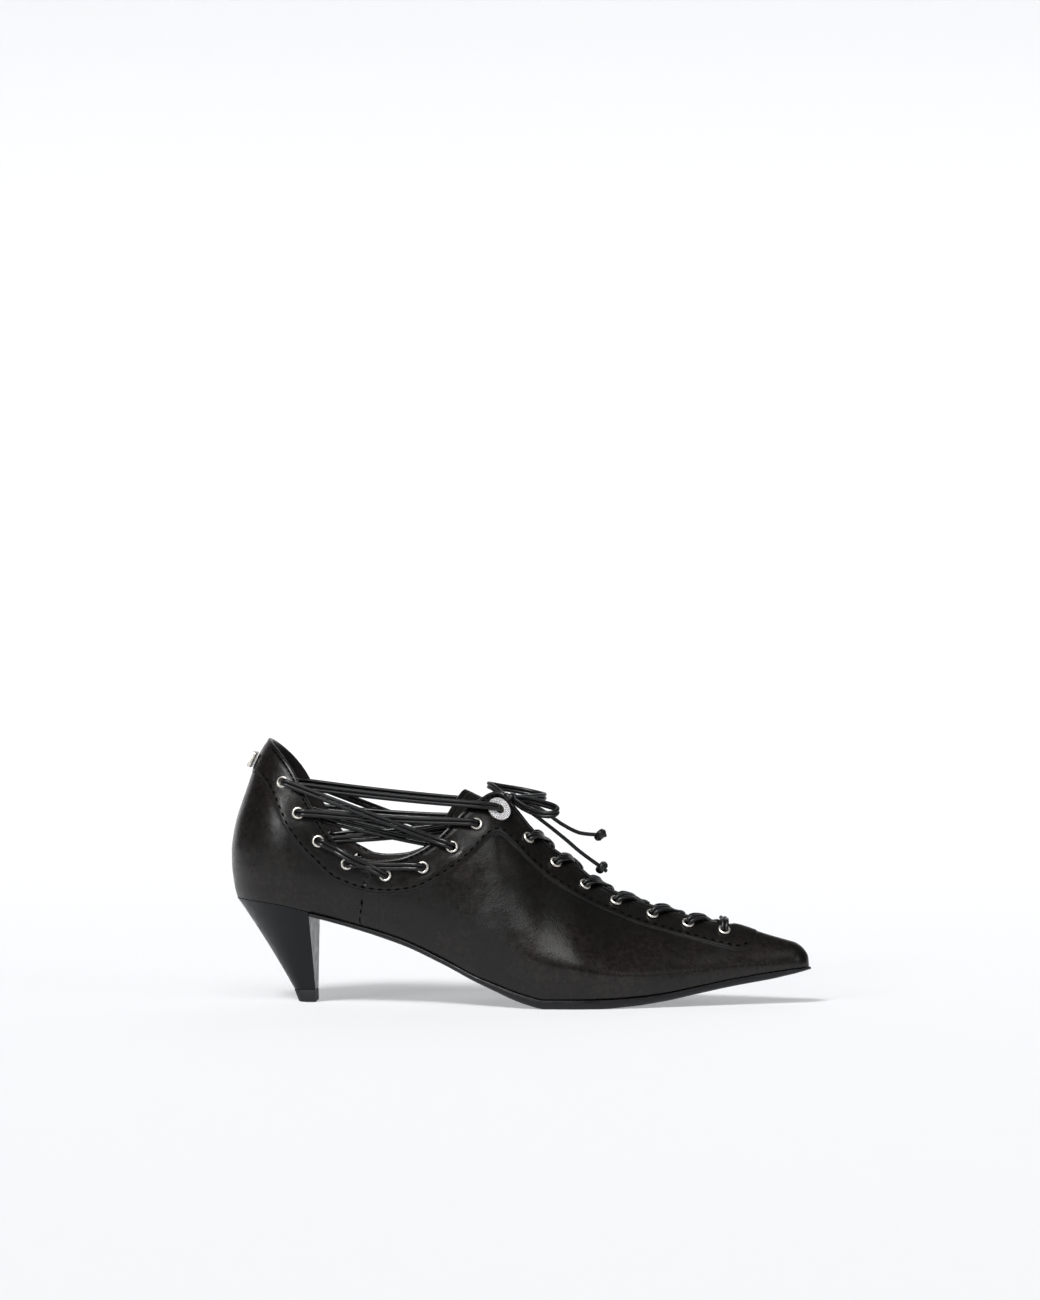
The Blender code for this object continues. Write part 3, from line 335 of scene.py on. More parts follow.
def find_on_wall(x, z, side):
    """The (at, rise) whose points lie at x and z seen from the side."""
    x, z = np.broadcast_arrays(np.asarray(x, float), np.asarray(z, float))
    lean = eased(BACK_CURVE[:, 0], BACK_CURVE[:, 1], z)
    low, high = np.zeros(x.shape), np.full(x.shape, LENGTH)
    for _ in range(40):
        at = (low + high) / 2
        ahead = at + lean * np.clip(1 - at / LEAN_REACH, 0, 1) ** 2 > x
        low, high = np.where(ahead, low, at), np.where(ahead, at, high)
    bottom, top = np.zeros(x.shape), np.full(x.shape, 2.0)
    for _ in range(40):
        rise = (bottom + top) / 2
        above = wall_point(at, rise, side)[..., 2] > z
        bottom, top = np.where(above, bottom, rise), np.where(above, rise, top)
    return at, rise


def on_wall(x, z, side, lift=0.0):
    """The wall's points seen at x and z, lifted along the outward normals, and those normals."""
    at, rise = find_on_wall(x, z, side)
    along = wall_point(at + 0.4, rise, side) - wall_point(at - 0.4, rise, side)
    up = wall_point(at, np.minimum(rise + 0.01, 2), side) - wall_point(at, rise - 0.01, side)
    normal = np.cross(along, up) * -side
    normal /= np.linalg.norm(normal, axis=-1, keepdims=True)
    return wall_point(at, rise, side) + normal * np.asarray(lift, float)[..., None], normal


def throat_width(x, inset=0.0):
    """The throat's half width, which closes in a round end."""
    x = np.asarray(x, float)
    straight = eased(THROAT[:, 0], THROAT[:, 1], x) + inset
    last = THROAT[-1, 0]
    reach = THROAT_END - last + inset
    tip = (THROAT[-1, 1] + inset) * np.sqrt(np.clip(1 - ((x - last) / reach) ** 2, 0, 1))
    return np.where(x < THROAT[0, 0], 0, np.where(x < last, straight, np.where(x < last + reach, tip, 0)))


def topline(x, inset=0.0):
    """The topline's height, which ends at the lobe's front."""
    x = np.asarray(x, float)
    slope = (eased(*TOPLINE.T, x + 0.3) - eased(*TOPLINE.T, x - 0.3)) / 0.6
    return np.where(x > TOPLINE[-1, 0], 999.0, eased(*TOPLINE.T, x) - inset * np.hypot(1, slope))


def throat_edge(x, side, lift, outwards=0.0):
    """A point over the facing's edge at x, and its normal."""
    low, high = 1.0, 2.0
    half = float(throat_width(x)) + outwards
    for _ in range(30):
        rise = (low + high) / 2
        low, high = (rise, high) if abs(wall_point(x, rise, side)[1]) > half else (low, rise)
    place = wall_point(x, rise, side)
    return on_wall(place[0], place[2], side, lift)


def smooth_through(points, step):
    """Points about step apart on the smooth curve through given ones, as an array."""
    points = np.asarray(points, float)
    ends = np.vstack((2 * points[0] - points[1], points, 2 * points[-1] - points[-2]))
    out = []
    for a, b, c, d in zip(ends, ends[1:], ends[2:], ends[3:]):
        count = max(1, round(float(np.linalg.norm(c - b)) / step))
        t = np.arange(count)[:, None] / count
        square, cube = 2 * a - 5 * b + 4 * c - d, 3 * b - a - 3 * c + d
        out.append(0.5 * (2 * b + (c - a) * t + square * t**2 + cube * t**3))
    return np.vstack((*out, points[-1:]))


# Nodes and materials


def add(tree, kind, inputs=None, **settings):
    """Adds a node with its settings. An input's value is a number, a colour or the socket that feeds it."""
    made = tree.nodes.new(kind)
    for name, value in settings.items():
        setattr(made, name, value)
    for name, value in (inputs or {}).items():
        if isinstance(value, bpy.types.NodeSocket):
            tree.links.new(value, made.inputs[name])
        else:
            made.inputs[name].default_value = value
    return made


def finish_of(name, base, roughness, metallic=0.0, **shader_inputs):
    """A new material, its tree and its shader, whose constants are set on its own sockets."""
    made = bpy.data.materials.new(name)
    made.use_nodes = True
    shader = made.node_tree.nodes["Principled BSDF"]
    shader.inputs["Base Color"].default_value = (*base, 1)
    shader.inputs["Roughness"].default_value = roughness
    shader.inputs["Metallic"].default_value = metallic
    for key, value in shader_inputs.items():
        shader.inputs[key.replace("_", " ")].default_value = value
    return made, made.node_tree, shader


def spots(tree, millimetres, detail=2.0, **extra):
    """Noise on the object's own coordinates, with features of that size."""
    place = add(tree, "ShaderNodeTexCoord").outputs["Object"]
    inputs = {"Vector": place, "Scale": 1 / (millimetres * MM), "Detail": detail, **extra}
    return add(tree, "ShaderNodeTexNoise", inputs).outputs["Fac"]


def ranged(tree, value, low, high, to_low, to_high):
    """A value moved smoothly from one range to another."""
    inputs = {"Value": value, "From Min": low, "From Max": high, "To Min": to_low, "To Max": to_high}
    return add(tree, "ShaderNodeMapRange", inputs, interpolation_type="SMOOTHSTEP").outputs["Result"]


def bumped(tree, height, millimetres, strength=1.0, below=None):
    """A bump of that height, on top of another one."""
    inputs = {"Height": height, "Distance": millimetres * MM, "Strength": strength}
    if below is not None:
        inputs["Normal"] = below
    return add(tree, "ShaderNodeBump", inputs).outputs["Normal"]


def blended(tree, share, first, second):
    """One colour or the other, by share. A colour is a value or a socket."""
    mix = tree.nodes.new("ShaderNodeMix")
    mix.data_type = "RGBA"
    for socket, value in ((mix.inputs[0], share), (mix.inputs[6], first), (mix.inputs[7], second)):
        if isinstance(value, bpy.types.NodeSocket):
            tree.links.new(value, socket)
        else:
            socket.default_value = (*value, 1)
    return mix.outputs[2]


def nappa():
    """Black nappa: soft aniline calf with a wax finish, so a broad low gloss broken up by fine grain."""
    palette = colours()
    made, tree, shader = finish_of("black_nappa", palette.leather, 0.4, Specular_IOR_Level=0.32)
    place = add(tree, "ShaderNodeTexCoord").outputs["Object"]
    # Grain cells are 0.5 mm in life, drawn at 0.8 mm so that they show.
    cells = add(tree, "ShaderNodeTexVoronoi", {"Vector": place, "Scale": 1 / (0.8 * MM)}, feature="F1")
    grain = ranged(tree, cells.outputs["Distance"], 0.1, 0.7, 1.0, 0.0)
    cloud = spots(tree, 34.0, 3.0)
    fleck = spots(tree, 2.2, 5.0, Roughness=0.7)
    worn = add(tree, "ShaderNodeMath", {0: cloud, 1: fleck}, operation="MULTIPLY").outputs[0]
    patch = ranged(tree, worn, 0.2, 0.46, 0.0, 0.4)
    seam = add(tree, "ShaderNodeAttribute", attribute_name="seam").outputs["Fac"]
    trim = add(tree, "ShaderNodeAttribute", attribute_name="trim").outputs["Fac"]
    edge = add(tree, "ShaderNodeAttribute", attribute_name="edge").outputs["Fac"]
    base = blended(tree, patch, palette.leather, palette.leather_worn)
    # Painted shade: the creases beside the seams and just under the trim's edge are blended to near black,
    # for the shade that falls in them, which draws them as dark lines.
    below = ranged(tree, trim, -0.9, -0.05, 1.0, 0.0)
    above = ranged(tree, trim, -0.05, 0.12, 0.0, 1.0)
    away = ranged(tree, seam, 0.15, 0.6, 0.0, 1.0)
    crease_shade = add(tree, "ShaderNodeMath", {0: below, 1: above}, operation="MAXIMUM").outputs[0]
    crease_shade = add(tree, "ShaderNodeMath", {0: crease_shade, 1: away}, operation="MINIMUM").outputs[0]
    crease_shade = add(tree, "ShaderNodeMath", {0: 1.0, 1: crease_shade}, operation="SUBTRACT").outputs[0]
    tree.links.new(blended(tree, crease_shade, base, (0.0012, 0.0012, 0.0012)), shader.inputs["Base Color"])
    gloss = spots(tree, 4.0, 5.0, Roughness=0.6)
    shine = add(tree, "ShaderNodeMath", {0: gloss, 1: cloud}, operation="ADD").outputs[0]
    polish = ranged(tree, shine, 0.65, 1.35, 0.38, 0.24)
    dulled = add(tree, "ShaderNodeMath", {0: crease_shade, 1: polish}, operation="MAXIMUM").outputs[0]
    tree.links.new(dulled, shader.inputs["Roughness"])
    step = ranged(tree, trim, -0.35, 0.1, 0.0, 1.0)
    lip = ranged(tree, edge, 0.9, 1.5, 1.0, 0.0)
    normal = bumped(tree, grain, 0.03, 0.6)
    normal = bumped(tree, spots(tree, 2.2, 4.0), 0.10, 0.7, normal)
    normal = bumped(tree, step, 0.3, 0.9, normal)
    normal = bumped(tree, lip, 0.12, 0.6, normal)
    normal = bumped(tree, away, 0.25, 0.9, normal)
    tree.links.new(normal, shader.inputs["Normal"])
    return made


def lining_leather():
    """Pigskin lining: matt, with fine pores."""
    made, tree, shader = finish_of("lining_leather", colours().lining, 0.62, Specular_IOR_Level=0.3)
    place = add(tree, "ShaderNodeTexCoord").outputs["Object"]
    cells = add(tree, "ShaderNodeTexVoronoi", {"Vector": place, "Scale": 1 / (0.8 * MM)}, feature="F1")
    pores = ranged(tree, cells.outputs["Distance"], 0.05, 0.35, 0.0, 1.0)
    tree.links.new(bumped(tree, pores, 0.03, 0.6), shader.inputs["Normal"])
    tree.links.new(ranged(tree, spots(tree, 6.0, 4.0), 0.3, 0.7, 0.52, 0.7), shader.inputs["Roughness"])
    return made


def waxed_cord():
    """Round leather cord: cut, rolled and waxed, so it has a narrow soft highlight and faint cracks."""
    made, tree, shader = finish_of(
        "waxed_cord", colours().cord, 0.34, Specular_IOR_Level=0.3, Coat_Weight=0.2, Coat_Roughness=0.2
    )
    tree.links.new(ranged(tree, spots(tree, 1.6, 4.0), 0.3, 0.7, 0.3, 0.5), shader.inputs["Roughness"])
    tree.links.new(bumped(tree, spots(tree, 0.7, 3.0), 0.05, 0.6), shader.inputs["Normal"])
    return made


def bonded_thread():
    """Bonded polyester thread: black, twisted and slightly waxy."""
    return finish_of("bonded_thread", colours().thread, 0.85, Specular_IOR_Level=0.05)[0]


def nickel():
    """Nickel-plated brass: pale and warm, with a satin face that looks even all round a ring."""
    made, tree, shader = finish_of("nickel_plate", colours().metal, 0.4, 1.0)
    tree.links.new(ranged(tree, spots(tree, 1.2, 4.0), 0.3, 0.7, 0.36, 0.5), shader.inputs["Roughness"])
    return made


def crystal():
    """Foil-backed cut glass: each facet mirrors another bit of the studio, so the stones sparkle."""
    return finish_of("foiled_crystal", colours().crystal, 0.16, 0.6)[0]


def heel_lacquer():
    """Moulded heel core in satin black lacquer: smooth, with a soft even sheen."""
    made, tree, shader = finish_of("heel_lacquer", colours().heel, 0.34, Specular_IOR_Level=0.22)
    tree.links.new(bumped(tree, spots(tree, 3.0, 3.0), 0.03, 0.4), shader.inputs["Normal"])
    tree.links.new(ranged(tree, spots(tree, 4.0, 4.0), 0.3, 0.7, 0.28, 0.42), shader.inputs["Roughness"])
    return made


def sole_leather():
    """Dyed and edge-dressed sole leather: hard, smooth and a little scuffed."""
    made, tree, shader = finish_of("dyed_sole_leather", colours().sole, 0.42, Specular_IOR_Level=0.3)
    tree.links.new(ranged(tree, spots(tree, 5.0, 6.0), 0.3, 0.7, 0.34, 0.56), shader.inputs["Roughness"])
    tree.links.new(bumped(tree, spots(tree, 0.8, 4.0), 0.04, 0.5), shader.inputs["Normal"])
    return made


def lift_rubber():
    """Moulded rubber: charcoal and matt, with a fine eroded texture."""
    made, tree, shader = finish_of("moulded_rubber", colours().rubber, 0.72, Specular_IOR_Level=0.3)
    tree.links.new(bumped(tree, spots(tree, 0.5, 2.0), 0.04, 0.7), shader.inputs["Normal"])
    return made


def studio_paper():
    """Seamless paper: pale and quite matt. It glows as on a light table, so that shadows stay soft."""
    made, tree, shader = finish_of("studio_paper", [c * PAPER_SHARE for c in colours().paper], 0.9)
    shader.inputs["Specular IOR Level"].default_value = 0.1
    shader.inputs["Emission Color"].default_value = (*colours().paper, 1)
    place = add(tree, "ShaderNodeTexCoord").outputs["Object"]
    height = add(tree, "ShaderNodeSeparateXYZ", {"Vector": place}).outputs["Z"]
    # The sweep's wall catches the floor's light too, so it glows less.
    glow = ranged(tree, height, 0.0, 0.6, PAPER_GLOW, WALL_GLOW)
    tree.links.new(glow, shader.inputs["Emission Strength"])
    return made


FINISHES = {
    "leather": nappa, "lining": lining_leather, "cord": waxed_cord, "thread": bonded_thread,
    "steel": nickel, "crystal": crystal, "heel": heel_lacquer, "sole": sole_leather,
    "rubber": lift_rubber, "paper": studio_paper,
}
MADE_FINISHES = {}


def finish(name):
    """A finish, made once."""
    if name not in MADE_FINISHES:
        MADE_FINISHES[name] = FINISHES[name]()
    return MADE_FINISHES[name]


# Meshes


def mesh_of(name, points, faces, finishes=(), smooth=40, marks=None, inside=None):
    """A mesh in metres with its finishes, smooth shading and marks, which are numbers on its points."""
    mesh = bpy.data.meshes.new(name)
    points = (np.asarray(points, float).reshape(-1, 3) - ORIGIN) * MM
    mesh.from_pydata(points.tolist(), [], faces)
    for finish_name in finishes:
        mesh.materials.append(finish(finish_name))
    for mark, values in (marks or {}).items():
        mesh.attributes.new(mark, "FLOAT", "POINT").data.foreach_set("value", np.asarray(values, float))
    if inside is not None:
        mesh.polygons.foreach_set("material_index", np.asarray(inside, int))
    if smooth:
        mesh.shade_smooth()
        mesh.set_sharp_from_angle(angle=math.radians(smooth))
    mesh.update()
    return mesh


def piece(name, mesh, slot, *nodes):
    """A finished piece: it rides on the one body and stands for its CAD nodes."""
    made = bpy.data.objects.new(name, mesh)
    bpy.context.scene.collection.objects.link(made)
    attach(made, "root")
    if nodes:
        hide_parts(*nodes)
    return made


def tube_faces(rings, sides, first=0, capped=True):
    """Quads between rings of points, and flat ends."""
    faces = [
        (first + r * sides + i, first + r * sides + (i + 1) % sides,
         first + (r + 1) * sides + (i + 1) % sides, first + (r + 1) * sides + i)
        for r in range(rings - 1)
        for i in range(sides)
    ]
    if capped:
        faces.append(tuple(first + i for i in reversed(range(sides))))
        faces.append(tuple(first + (rings - 1) * sides + i for i in range(sides)))
    return faces


def outward(name, points, faces, finish_name, smooth=40):
    """A closed mesh whose normals are made to point out."""
    mesh = mesh_of(name, points, faces, (finish_name,), None)
    built = bmesh.new()
    built.from_mesh(mesh)
    bmesh.ops.remove_doubles(built, verts=built.verts, dist=0.00002)
    bmesh.ops.dissolve_degenerate(built, dist=0.000002, edges=built.edges)
    bmesh.ops.recalc_face_normals(built, faces=built.faces)
    built.to_mesh(mesh)
    built.free()
    mesh.shade_smooth()
    mesh.set_sharp_from_angle(angle=math.radians(smooth))
    return mesh


def welded(points, faces, marks):
    """Points that lie in one place made one, and faces that close up dropped."""
    keys = np.round(points * 1e4).astype(np.int64) + 0
    _, first, index = np.unique(keys, axis=0, return_index=True, return_inverse=True)
    index = index.reshape(-1)
    out = []
    for face in faces:
        corners = []
        for v in face:
            w = int(index[v])
            if w not in corners:
                corners.append(w)
        if len(corners) > 2:
            out.append(tuple(corners))
    return points[first], out, {k: v[first] for k, v in marks.items()}


def point_normals(points, faces):
    """Each point's normal, as the mean of its faces'."""
    normals = np.zeros_like(points)
    for corners in (3, 4):
        quads = np.array([f for f in faces if len(f) == corners])
        if len(quads) == 0:
            continue
        a, b = points[quads[:, 2]] - points[quads[:, 0]], points[quads[:, -1]] - points[quads[:, 1]]
        cross = np.cross(a, b)
        for k in range(corners):
            np.add.at(normals, quads[:, k], cross)
    return normals / np.maximum(np.linalg.norm(normals, axis=1, keepdims=True), 1e-9)


def boundary_edges(faces):
    """The edges that only one face has, in that face's direction, each with its face."""
    seen = {}
    for number, face in enumerate(faces):
        for a, b in zip(face, (*face[1:], face[0])):
            if (b, a) in seen:
                del seen[(b, a)]
            else:
                seen[(a, b)] = number
    return seen


def walled(points, faces, thickness, rounded, marks):
    """A closed skin: the outer faces, the same again a wall's thickness inside, and a rim that joins them.

    The rim is round where rounded says so, and flat elsewhere.
    """
    normals = point_normals(points, faces)
    edges = boundary_edges(faces)
    rim = sorted({v for edge in edges for v in edge})
    away = {v: np.zeros(3) for v in rim}
    for (a, b), number in edges.items():
        centre = points[list(faces[number])].mean(axis=0)
        line = points[b] - points[a]
        line /= max(np.linalg.norm(line), 1e-9)
        out = (points[a] + points[b]) / 2 - centre
        out -= line * out.dot(line)
        for v in (a, b):
            away[v] += out / max(np.linalg.norm(out), 1e-9)
    inner = points - normals * thickness
    count = len(points)
    all_points = [points, inner]
    turns = np.radians((30, 60, 90, 120, 150))
    number_of = {v: 2 * count + i * len(turns) for i, v in enumerate(rim)}
    for v in rim:
        middle, half = (points[v] + inner[v]) / 2, thickness / 2
        out = away[v] / max(np.linalg.norm(away[v]), 1e-9) * (1.0 if rounded[v] else 0.0)
        out -= normals[v] * out.dot(normals[v])
        all_points.append(np.array([
            middle + normals[v] * half * math.cos(turn) + out * half * math.sin(turn) for turn in turns
        ]))
    all_faces = list(faces) + [tuple(count + v for v in reversed(face)) for face in faces]
    for a, b in edges:
        column_a = [a, *(number_of[a] + i for i in range(len(turns))), count + a]
        column_b = [b, *(number_of[b] + i for i in range(len(turns))), count + b]
        for i in range(len(column_a) - 1):
            all_faces.append((column_b[i], column_a[i], column_a[i + 1], column_b[i + 1]))
    inside = np.zeros(len(all_faces), int)
    inside[len(faces):2 * len(faces)] = 1
    order = np.concatenate((np.arange(count), np.arange(count), np.repeat(rim, len(turns)))).astype(int)
    kept = {k: v[order] for k, v in marks.items()}
    for mark in kept.values():
        mark[count:] = 99.0
    return np.vstack(all_points), all_faces, inside, kept


# The upper


UPPER_ROWS = 74
EDGE_INSET = 0.9
HOLE_RADIUS = 2.15
TOP_HOLE_RADIUS = 2.6
HOLE_CUT, HOLE_DRAWN = 0.95, 1.9
# The lengths where the wall's edge is open, where it is rolled, and where it turns the lobe's corner.
OPEN_MIDDLE, OPEN_REACH = 120.0, 112.0
ROLLED_TO = 236.0
LOBE_FROM, LOBE_TO = 104.0, 150.0
# How deep the leather is drawn in at the seam, the stitches, the rolled edge and round the rings.
SEAM_DEPTH, STITCH_DEPTH, ROLL_DEPTH, PUCKER_DEPTH = 0.42, 0.12, 0.16, 0.24
STITCH_INSET, TOPLINE_STITCH_INSET = 1.3, 1.7


def upper_stations():
    """Where the wall's columns lie: close together round the heel, the toe and the throat's end."""
    heel = HEEL_ROUND * (1 - np.cos(np.linspace(0, math.pi / 2, 30)))
    before = np.arange(HEEL_ROUND + 1.2, THROAT[-1, 0] - 1.5, 1.2)
    throat_end = THROAT[-1, 0] - 1.2 + np.cumsum(np.linspace(0.6, 0.3, 12))
    after = np.arange(throat_end[-1] + 0.8, LENGTH - TOE_ROUND - 0.4, 1.2)
    toe = LENGTH - TOE_ROUND * (1 - np.cos(np.linspace(0, math.pi / 2, 14)))[::-1]
    return np.concatenate((heel, before, throat_end, after, toe))


def open_rise(at, side):
    """How high the leather goes at each station, up to the topline and the throat's edge."""
    low, high = np.ones(at.shape), np.full(at.shape, 2.0)
    for _ in range(40):
        rise = (low + high) / 2
        x, y, z = np.moveaxis(wall_point(at, rise, side), -1, 0)
        cut = (z > topline(x, EDGE_INSET)) | (np.abs(y) < throat_width(x, EDGE_INSET))
        low, high = np.where(cut, low, rise), np.where(cut, rise, high)
    rise = np.where(rise > 1.99999, 2.0, rise)
    soft = rise.copy()
    soft[1:-1] = (rise[:-2] + 2 * rise[1:-1] + rise[2:]) / 4
    corner = (at > LOBE_FROM) & (at < LOBE_TO)
    return np.where(corner, soft, rise)


def side_grid(stations, side):
    """The wall's outer points on one side, a column a station, evenly spaced up each column."""
    top = open_rise(stations, side)
    fine = np.linspace(0, 1, 160)[None, :] * top[:, None]
    places = wall_point(stations[:, None], fine, side)
    steps = np.linalg.norm(np.diff(places, axis=1), axis=2)
    run = np.concatenate((np.zeros((len(stations), 1)), np.cumsum(steps, axis=1)), axis=1)
    rises = np.array([
        np.interp(np.linspace(0, r[-1], UPPER_ROWS), r, f) for r, f in zip(run, fine)
    ])
    rises[:, -1] = top
    return wall_point(stations[:, None], rises, side)


def seam_lines():
    """Every seam as points on the wall, half a millimetre apart."""
    lines = []
    for side in SIDES.values():
        for seam in (SIDE_SEAM, SIDE_SEAM_PAIR, FACING_JOIN):
            x, z = smooth_through(seam, 0.5).T
            lines.append(on_wall(x, z, side)[0])
    heights = np.arange(49.0, 106.0, 0.5)
    back = eased(BACK_CURVE[:, 0], BACK_CURVE[:, 1], heights)
    lines.append(np.stack((back, np.zeros_like(back), heights), axis=1))
    return lines


def nearest(points, targets, chunk=4000):
    """Each point's distance to the nearest target."""
    out = np.empty(len(points))
    for start in range(0, len(points), chunk):
        part = points[start:start + chunk]
        squares = (part**2).sum(axis=1)[:, None] + (targets**2).sum(axis=1)[None, :] - 2 * part @ targets.T
        out[start:start + chunk] = np.sqrt(np.maximum(squares.min(axis=1), 0))
    return out


def eyelet_centres():
    """(x, z, side, hole radius) of every eyelet."""
    for side in SIDES.values():
        for x, z in (*SIDE_EYELETS, *FRONT_EYELETS):
            yield x, z, side, HOLE_RADIUS
        yield *TOP_EYELET, side, TOP_HOLE_RADIUS


def trim_reach(points):
    """How far inside the trim's edge each point lies, in millimetres, and less than nothing outside it."""
    edges = []
    for side in SIDES.values():
        x, z = smooth_through(TRIM_EDGE, 0.4).T
        edges.append(on_wall(x, z, side)[0])
    away = nearest(points, np.vstack(edges))
    x, z = points[:, 0], points[:, 2]
    inside = (x < TRIM_EDGE[-1, 0]) & (z > eased(TRIM_EDGE[:, 0], TRIM_EDGE[:, 1], x))
    return np.where(inside, away, -away)


def wrinkles(points):
    """Slow swells and small puckers of stretched leather, in millimetres."""
    out = np.empty(len(points))
    for i, (x, y, z) in enumerate(points):
        slow = noise.noise(Vector((x / 26, y / 26, z / 17)))
        quick = noise.noise(Vector((x / 9 + 7, y / 9, z / 5.5)))
        out[i] = 0.26 * slow + 0.07 * quick
    return out


def build_upper():
    """The leather wall with its trim, seams, eyelet holes, wrinkles and rolled edges."""
    stations = upper_stations()
    points, faces, tops = [], [], []
    for side in (LATERAL, MEDIAL):
        grid = side_grid(stations, side)
        first = len(points) * UPPER_ROWS * len(stations)
        for c in range(len(stations) - 1):
            for r in range(UPPER_ROWS - 1):
                a = first + c * UPPER_ROWS + r
                quad = (a, a + UPPER_ROWS, a + UPPER_ROWS + 1, a + 1)
                faces.append(quad if side == LATERAL else quad[::-1])
        points.append(grid.reshape(-1, 3))
        top = np.zeros(grid.shape[:2], bool)
        top[:, -1] = True
        tops.append(top.reshape(-1))
    outline = np.vstack([p[t] for p, t in zip(points, tops)])
    outline = outline[np.abs(outline[:, 0] - OPEN_MIDDLE) < OPEN_REACH]
    points, tops = np.vstack(points), np.concatenate(tops)
    points, faces, marks = welded(points, faces, {"top": tops.astype(float)})
    rounded = marks.pop("top") > 0
    lines = seam_lines()
    seam = nearest(points, np.vstack(lines))
    edge = nearest(points, outline)
    normals = point_normals(points, faces)
    centres = [(on_wall(x, z, side), radius) for x, z, side, radius in eyelet_centres()]
    ring = nearest(points, np.array([place for (place, _), _ in centres]))
    trim = trim_reach(points)
    sunk = np.clip((points[:, 2] - section("feather", points[:, 0])) / STEP_FADE, 0, 1)
    relief = (
        TRIM_STEP * (np.clip(trim / 0.7 + 0.5, 0, 1) - 1) * sunk
        - SEAM_DEPTH * np.exp(-((seam / 0.8) ** 2))
        - STITCH_DEPTH * np.exp(-(((trim - STITCH_INSET) / 0.7) ** 2))
        - ROLL_DEPTH * np.exp(-(((edge - 1.6) / 0.8) ** 2)) * (points[:, 0] < ROLLED_TO)
        - PUCKER_DEPTH * np.exp(-(((ring - 3.4) / 1.2) ** 2))
        + wrinkles(points) * np.clip(edge / 8, 0.25, 1)
    )
    points = points + normals * relief[:, None]
    faces, points = pierced(points, faces, centres)
    points, faces, inside, marks = walled(
        points, faces, sizes().wall / MM, rounded, {"seam": seam, "trim": trim, "edge": edge}
    )
    used = np.unique(np.concatenate([np.array(f) for f in faces]))
    number = np.full(len(points), -1)
    number[used] = np.arange(len(used))
    faces = [tuple(int(number[v]) for v in face) for face in faces]
    marks = {k: v[used] for k, v in marks.items()}
    mesh = mesh_of("upper", points[used], faces, ("leather", "lining"), 70, marks, inside)
    piece("upper_leather", mesh, "leather", "upper")


def pierced(points, faces, centres):
    """The faces without those over an eyelet's hole, and the hole's edge drawn to a true circle."""
    middles = np.array([points[list(f)].mean(axis=0) for f in faces])
    keep = np.ones(len(faces), bool)
    for (centre, _), radius in centres:
        keep &= np.linalg.norm(middles - centre, axis=1) > radius * HOLE_CUT
    kept = [f for f, k in zip(faces, keep) if k]
    edge = np.array(sorted({v for pair in boundary_edges(kept) for v in pair}))
    points = points.copy()
    for (centre, normal), radius in centres:
        offset = points[edge] - centre
        near = edge[np.linalg.norm(offset, axis=1) < radius * HOLE_DRAWN]
        offset = points[near] - centre
        high = offset @ normal
        flat = offset - high[:, None] * normal
        flat *= radius / np.maximum(np.linalg.norm(flat, axis=1, keepdims=True), 1e-6)
        points[near] = centre + flat + high[:, None] * normal
    return kept, points


# Soles, heel, insole and tongue


def tread(at, side, margin=0.0):
    """The tread's half width, with its round toe."""
    name = "tread_lateral" if side == LATERAL else "tread_medial"
    depth = LENGTH + margin - np.asarray(at, float)
    return (section(name, np.minimum(at, LENGTH)) + margin) * rounded_end(depth, TOE_ROUND)


def build_outsole():
    """The sole with a rounded, dressed edge and a bevel below it."""
    tip = LENGTH + SOLE_MARGIN
    toe = tip - TOE_ROUND * (1 - np.cos(np.linspace(0, math.pi / 2, 16)))[::-1]
    stations = np.concatenate((np.arange(BREAST_AT + 2 * GAP, tip - TOE_ROUND, 1.6), toe))
    profile = (
        (1.0, 0.0), (0.25, 0.05), (0.0, 0.25), (0.05, 0.5),
        (0.45, 0.72), (1.3, 0.94), (2.4, 1.0), (4.0, 1.0),
    )
    points = []
    for at in stations:
        inside = min(at, LENGTH)
        top = float(section("feather", inside)) - GAP
        deep = top - float(section("feather", inside) - section("sole", inside))
        ring = []
        for side, rows in ((LATERAL, profile), (MEDIAL, profile[::-1])):
            wide = float(tread(at, side, SOLE_MARGIN))
            ring += [(at, side * max(wide - cut, 0.0), top - deep * drop) for cut, drop in rows]
        points += ring
    faces = tube_faces(len(stations), 2 * len(profile))
    piece("outsole_leather", outward("outsole", points, faces, "sole", 30), "rubber", "outsole")


def d_outline(back, front, half_width, radius, turns):
    """A D seen from above: round at the back and straight across the front."""
    shape = []
    for turn in turns:
        ahead = (front - back) * (1 - math.cos(abs(turn) * math.pi / 2))
        width = half_width(back + ahead, turn) * float(rounded_end(ahead, radius))
        shape.append((back + ahead, math.copysign(width, turn)))
    return shape


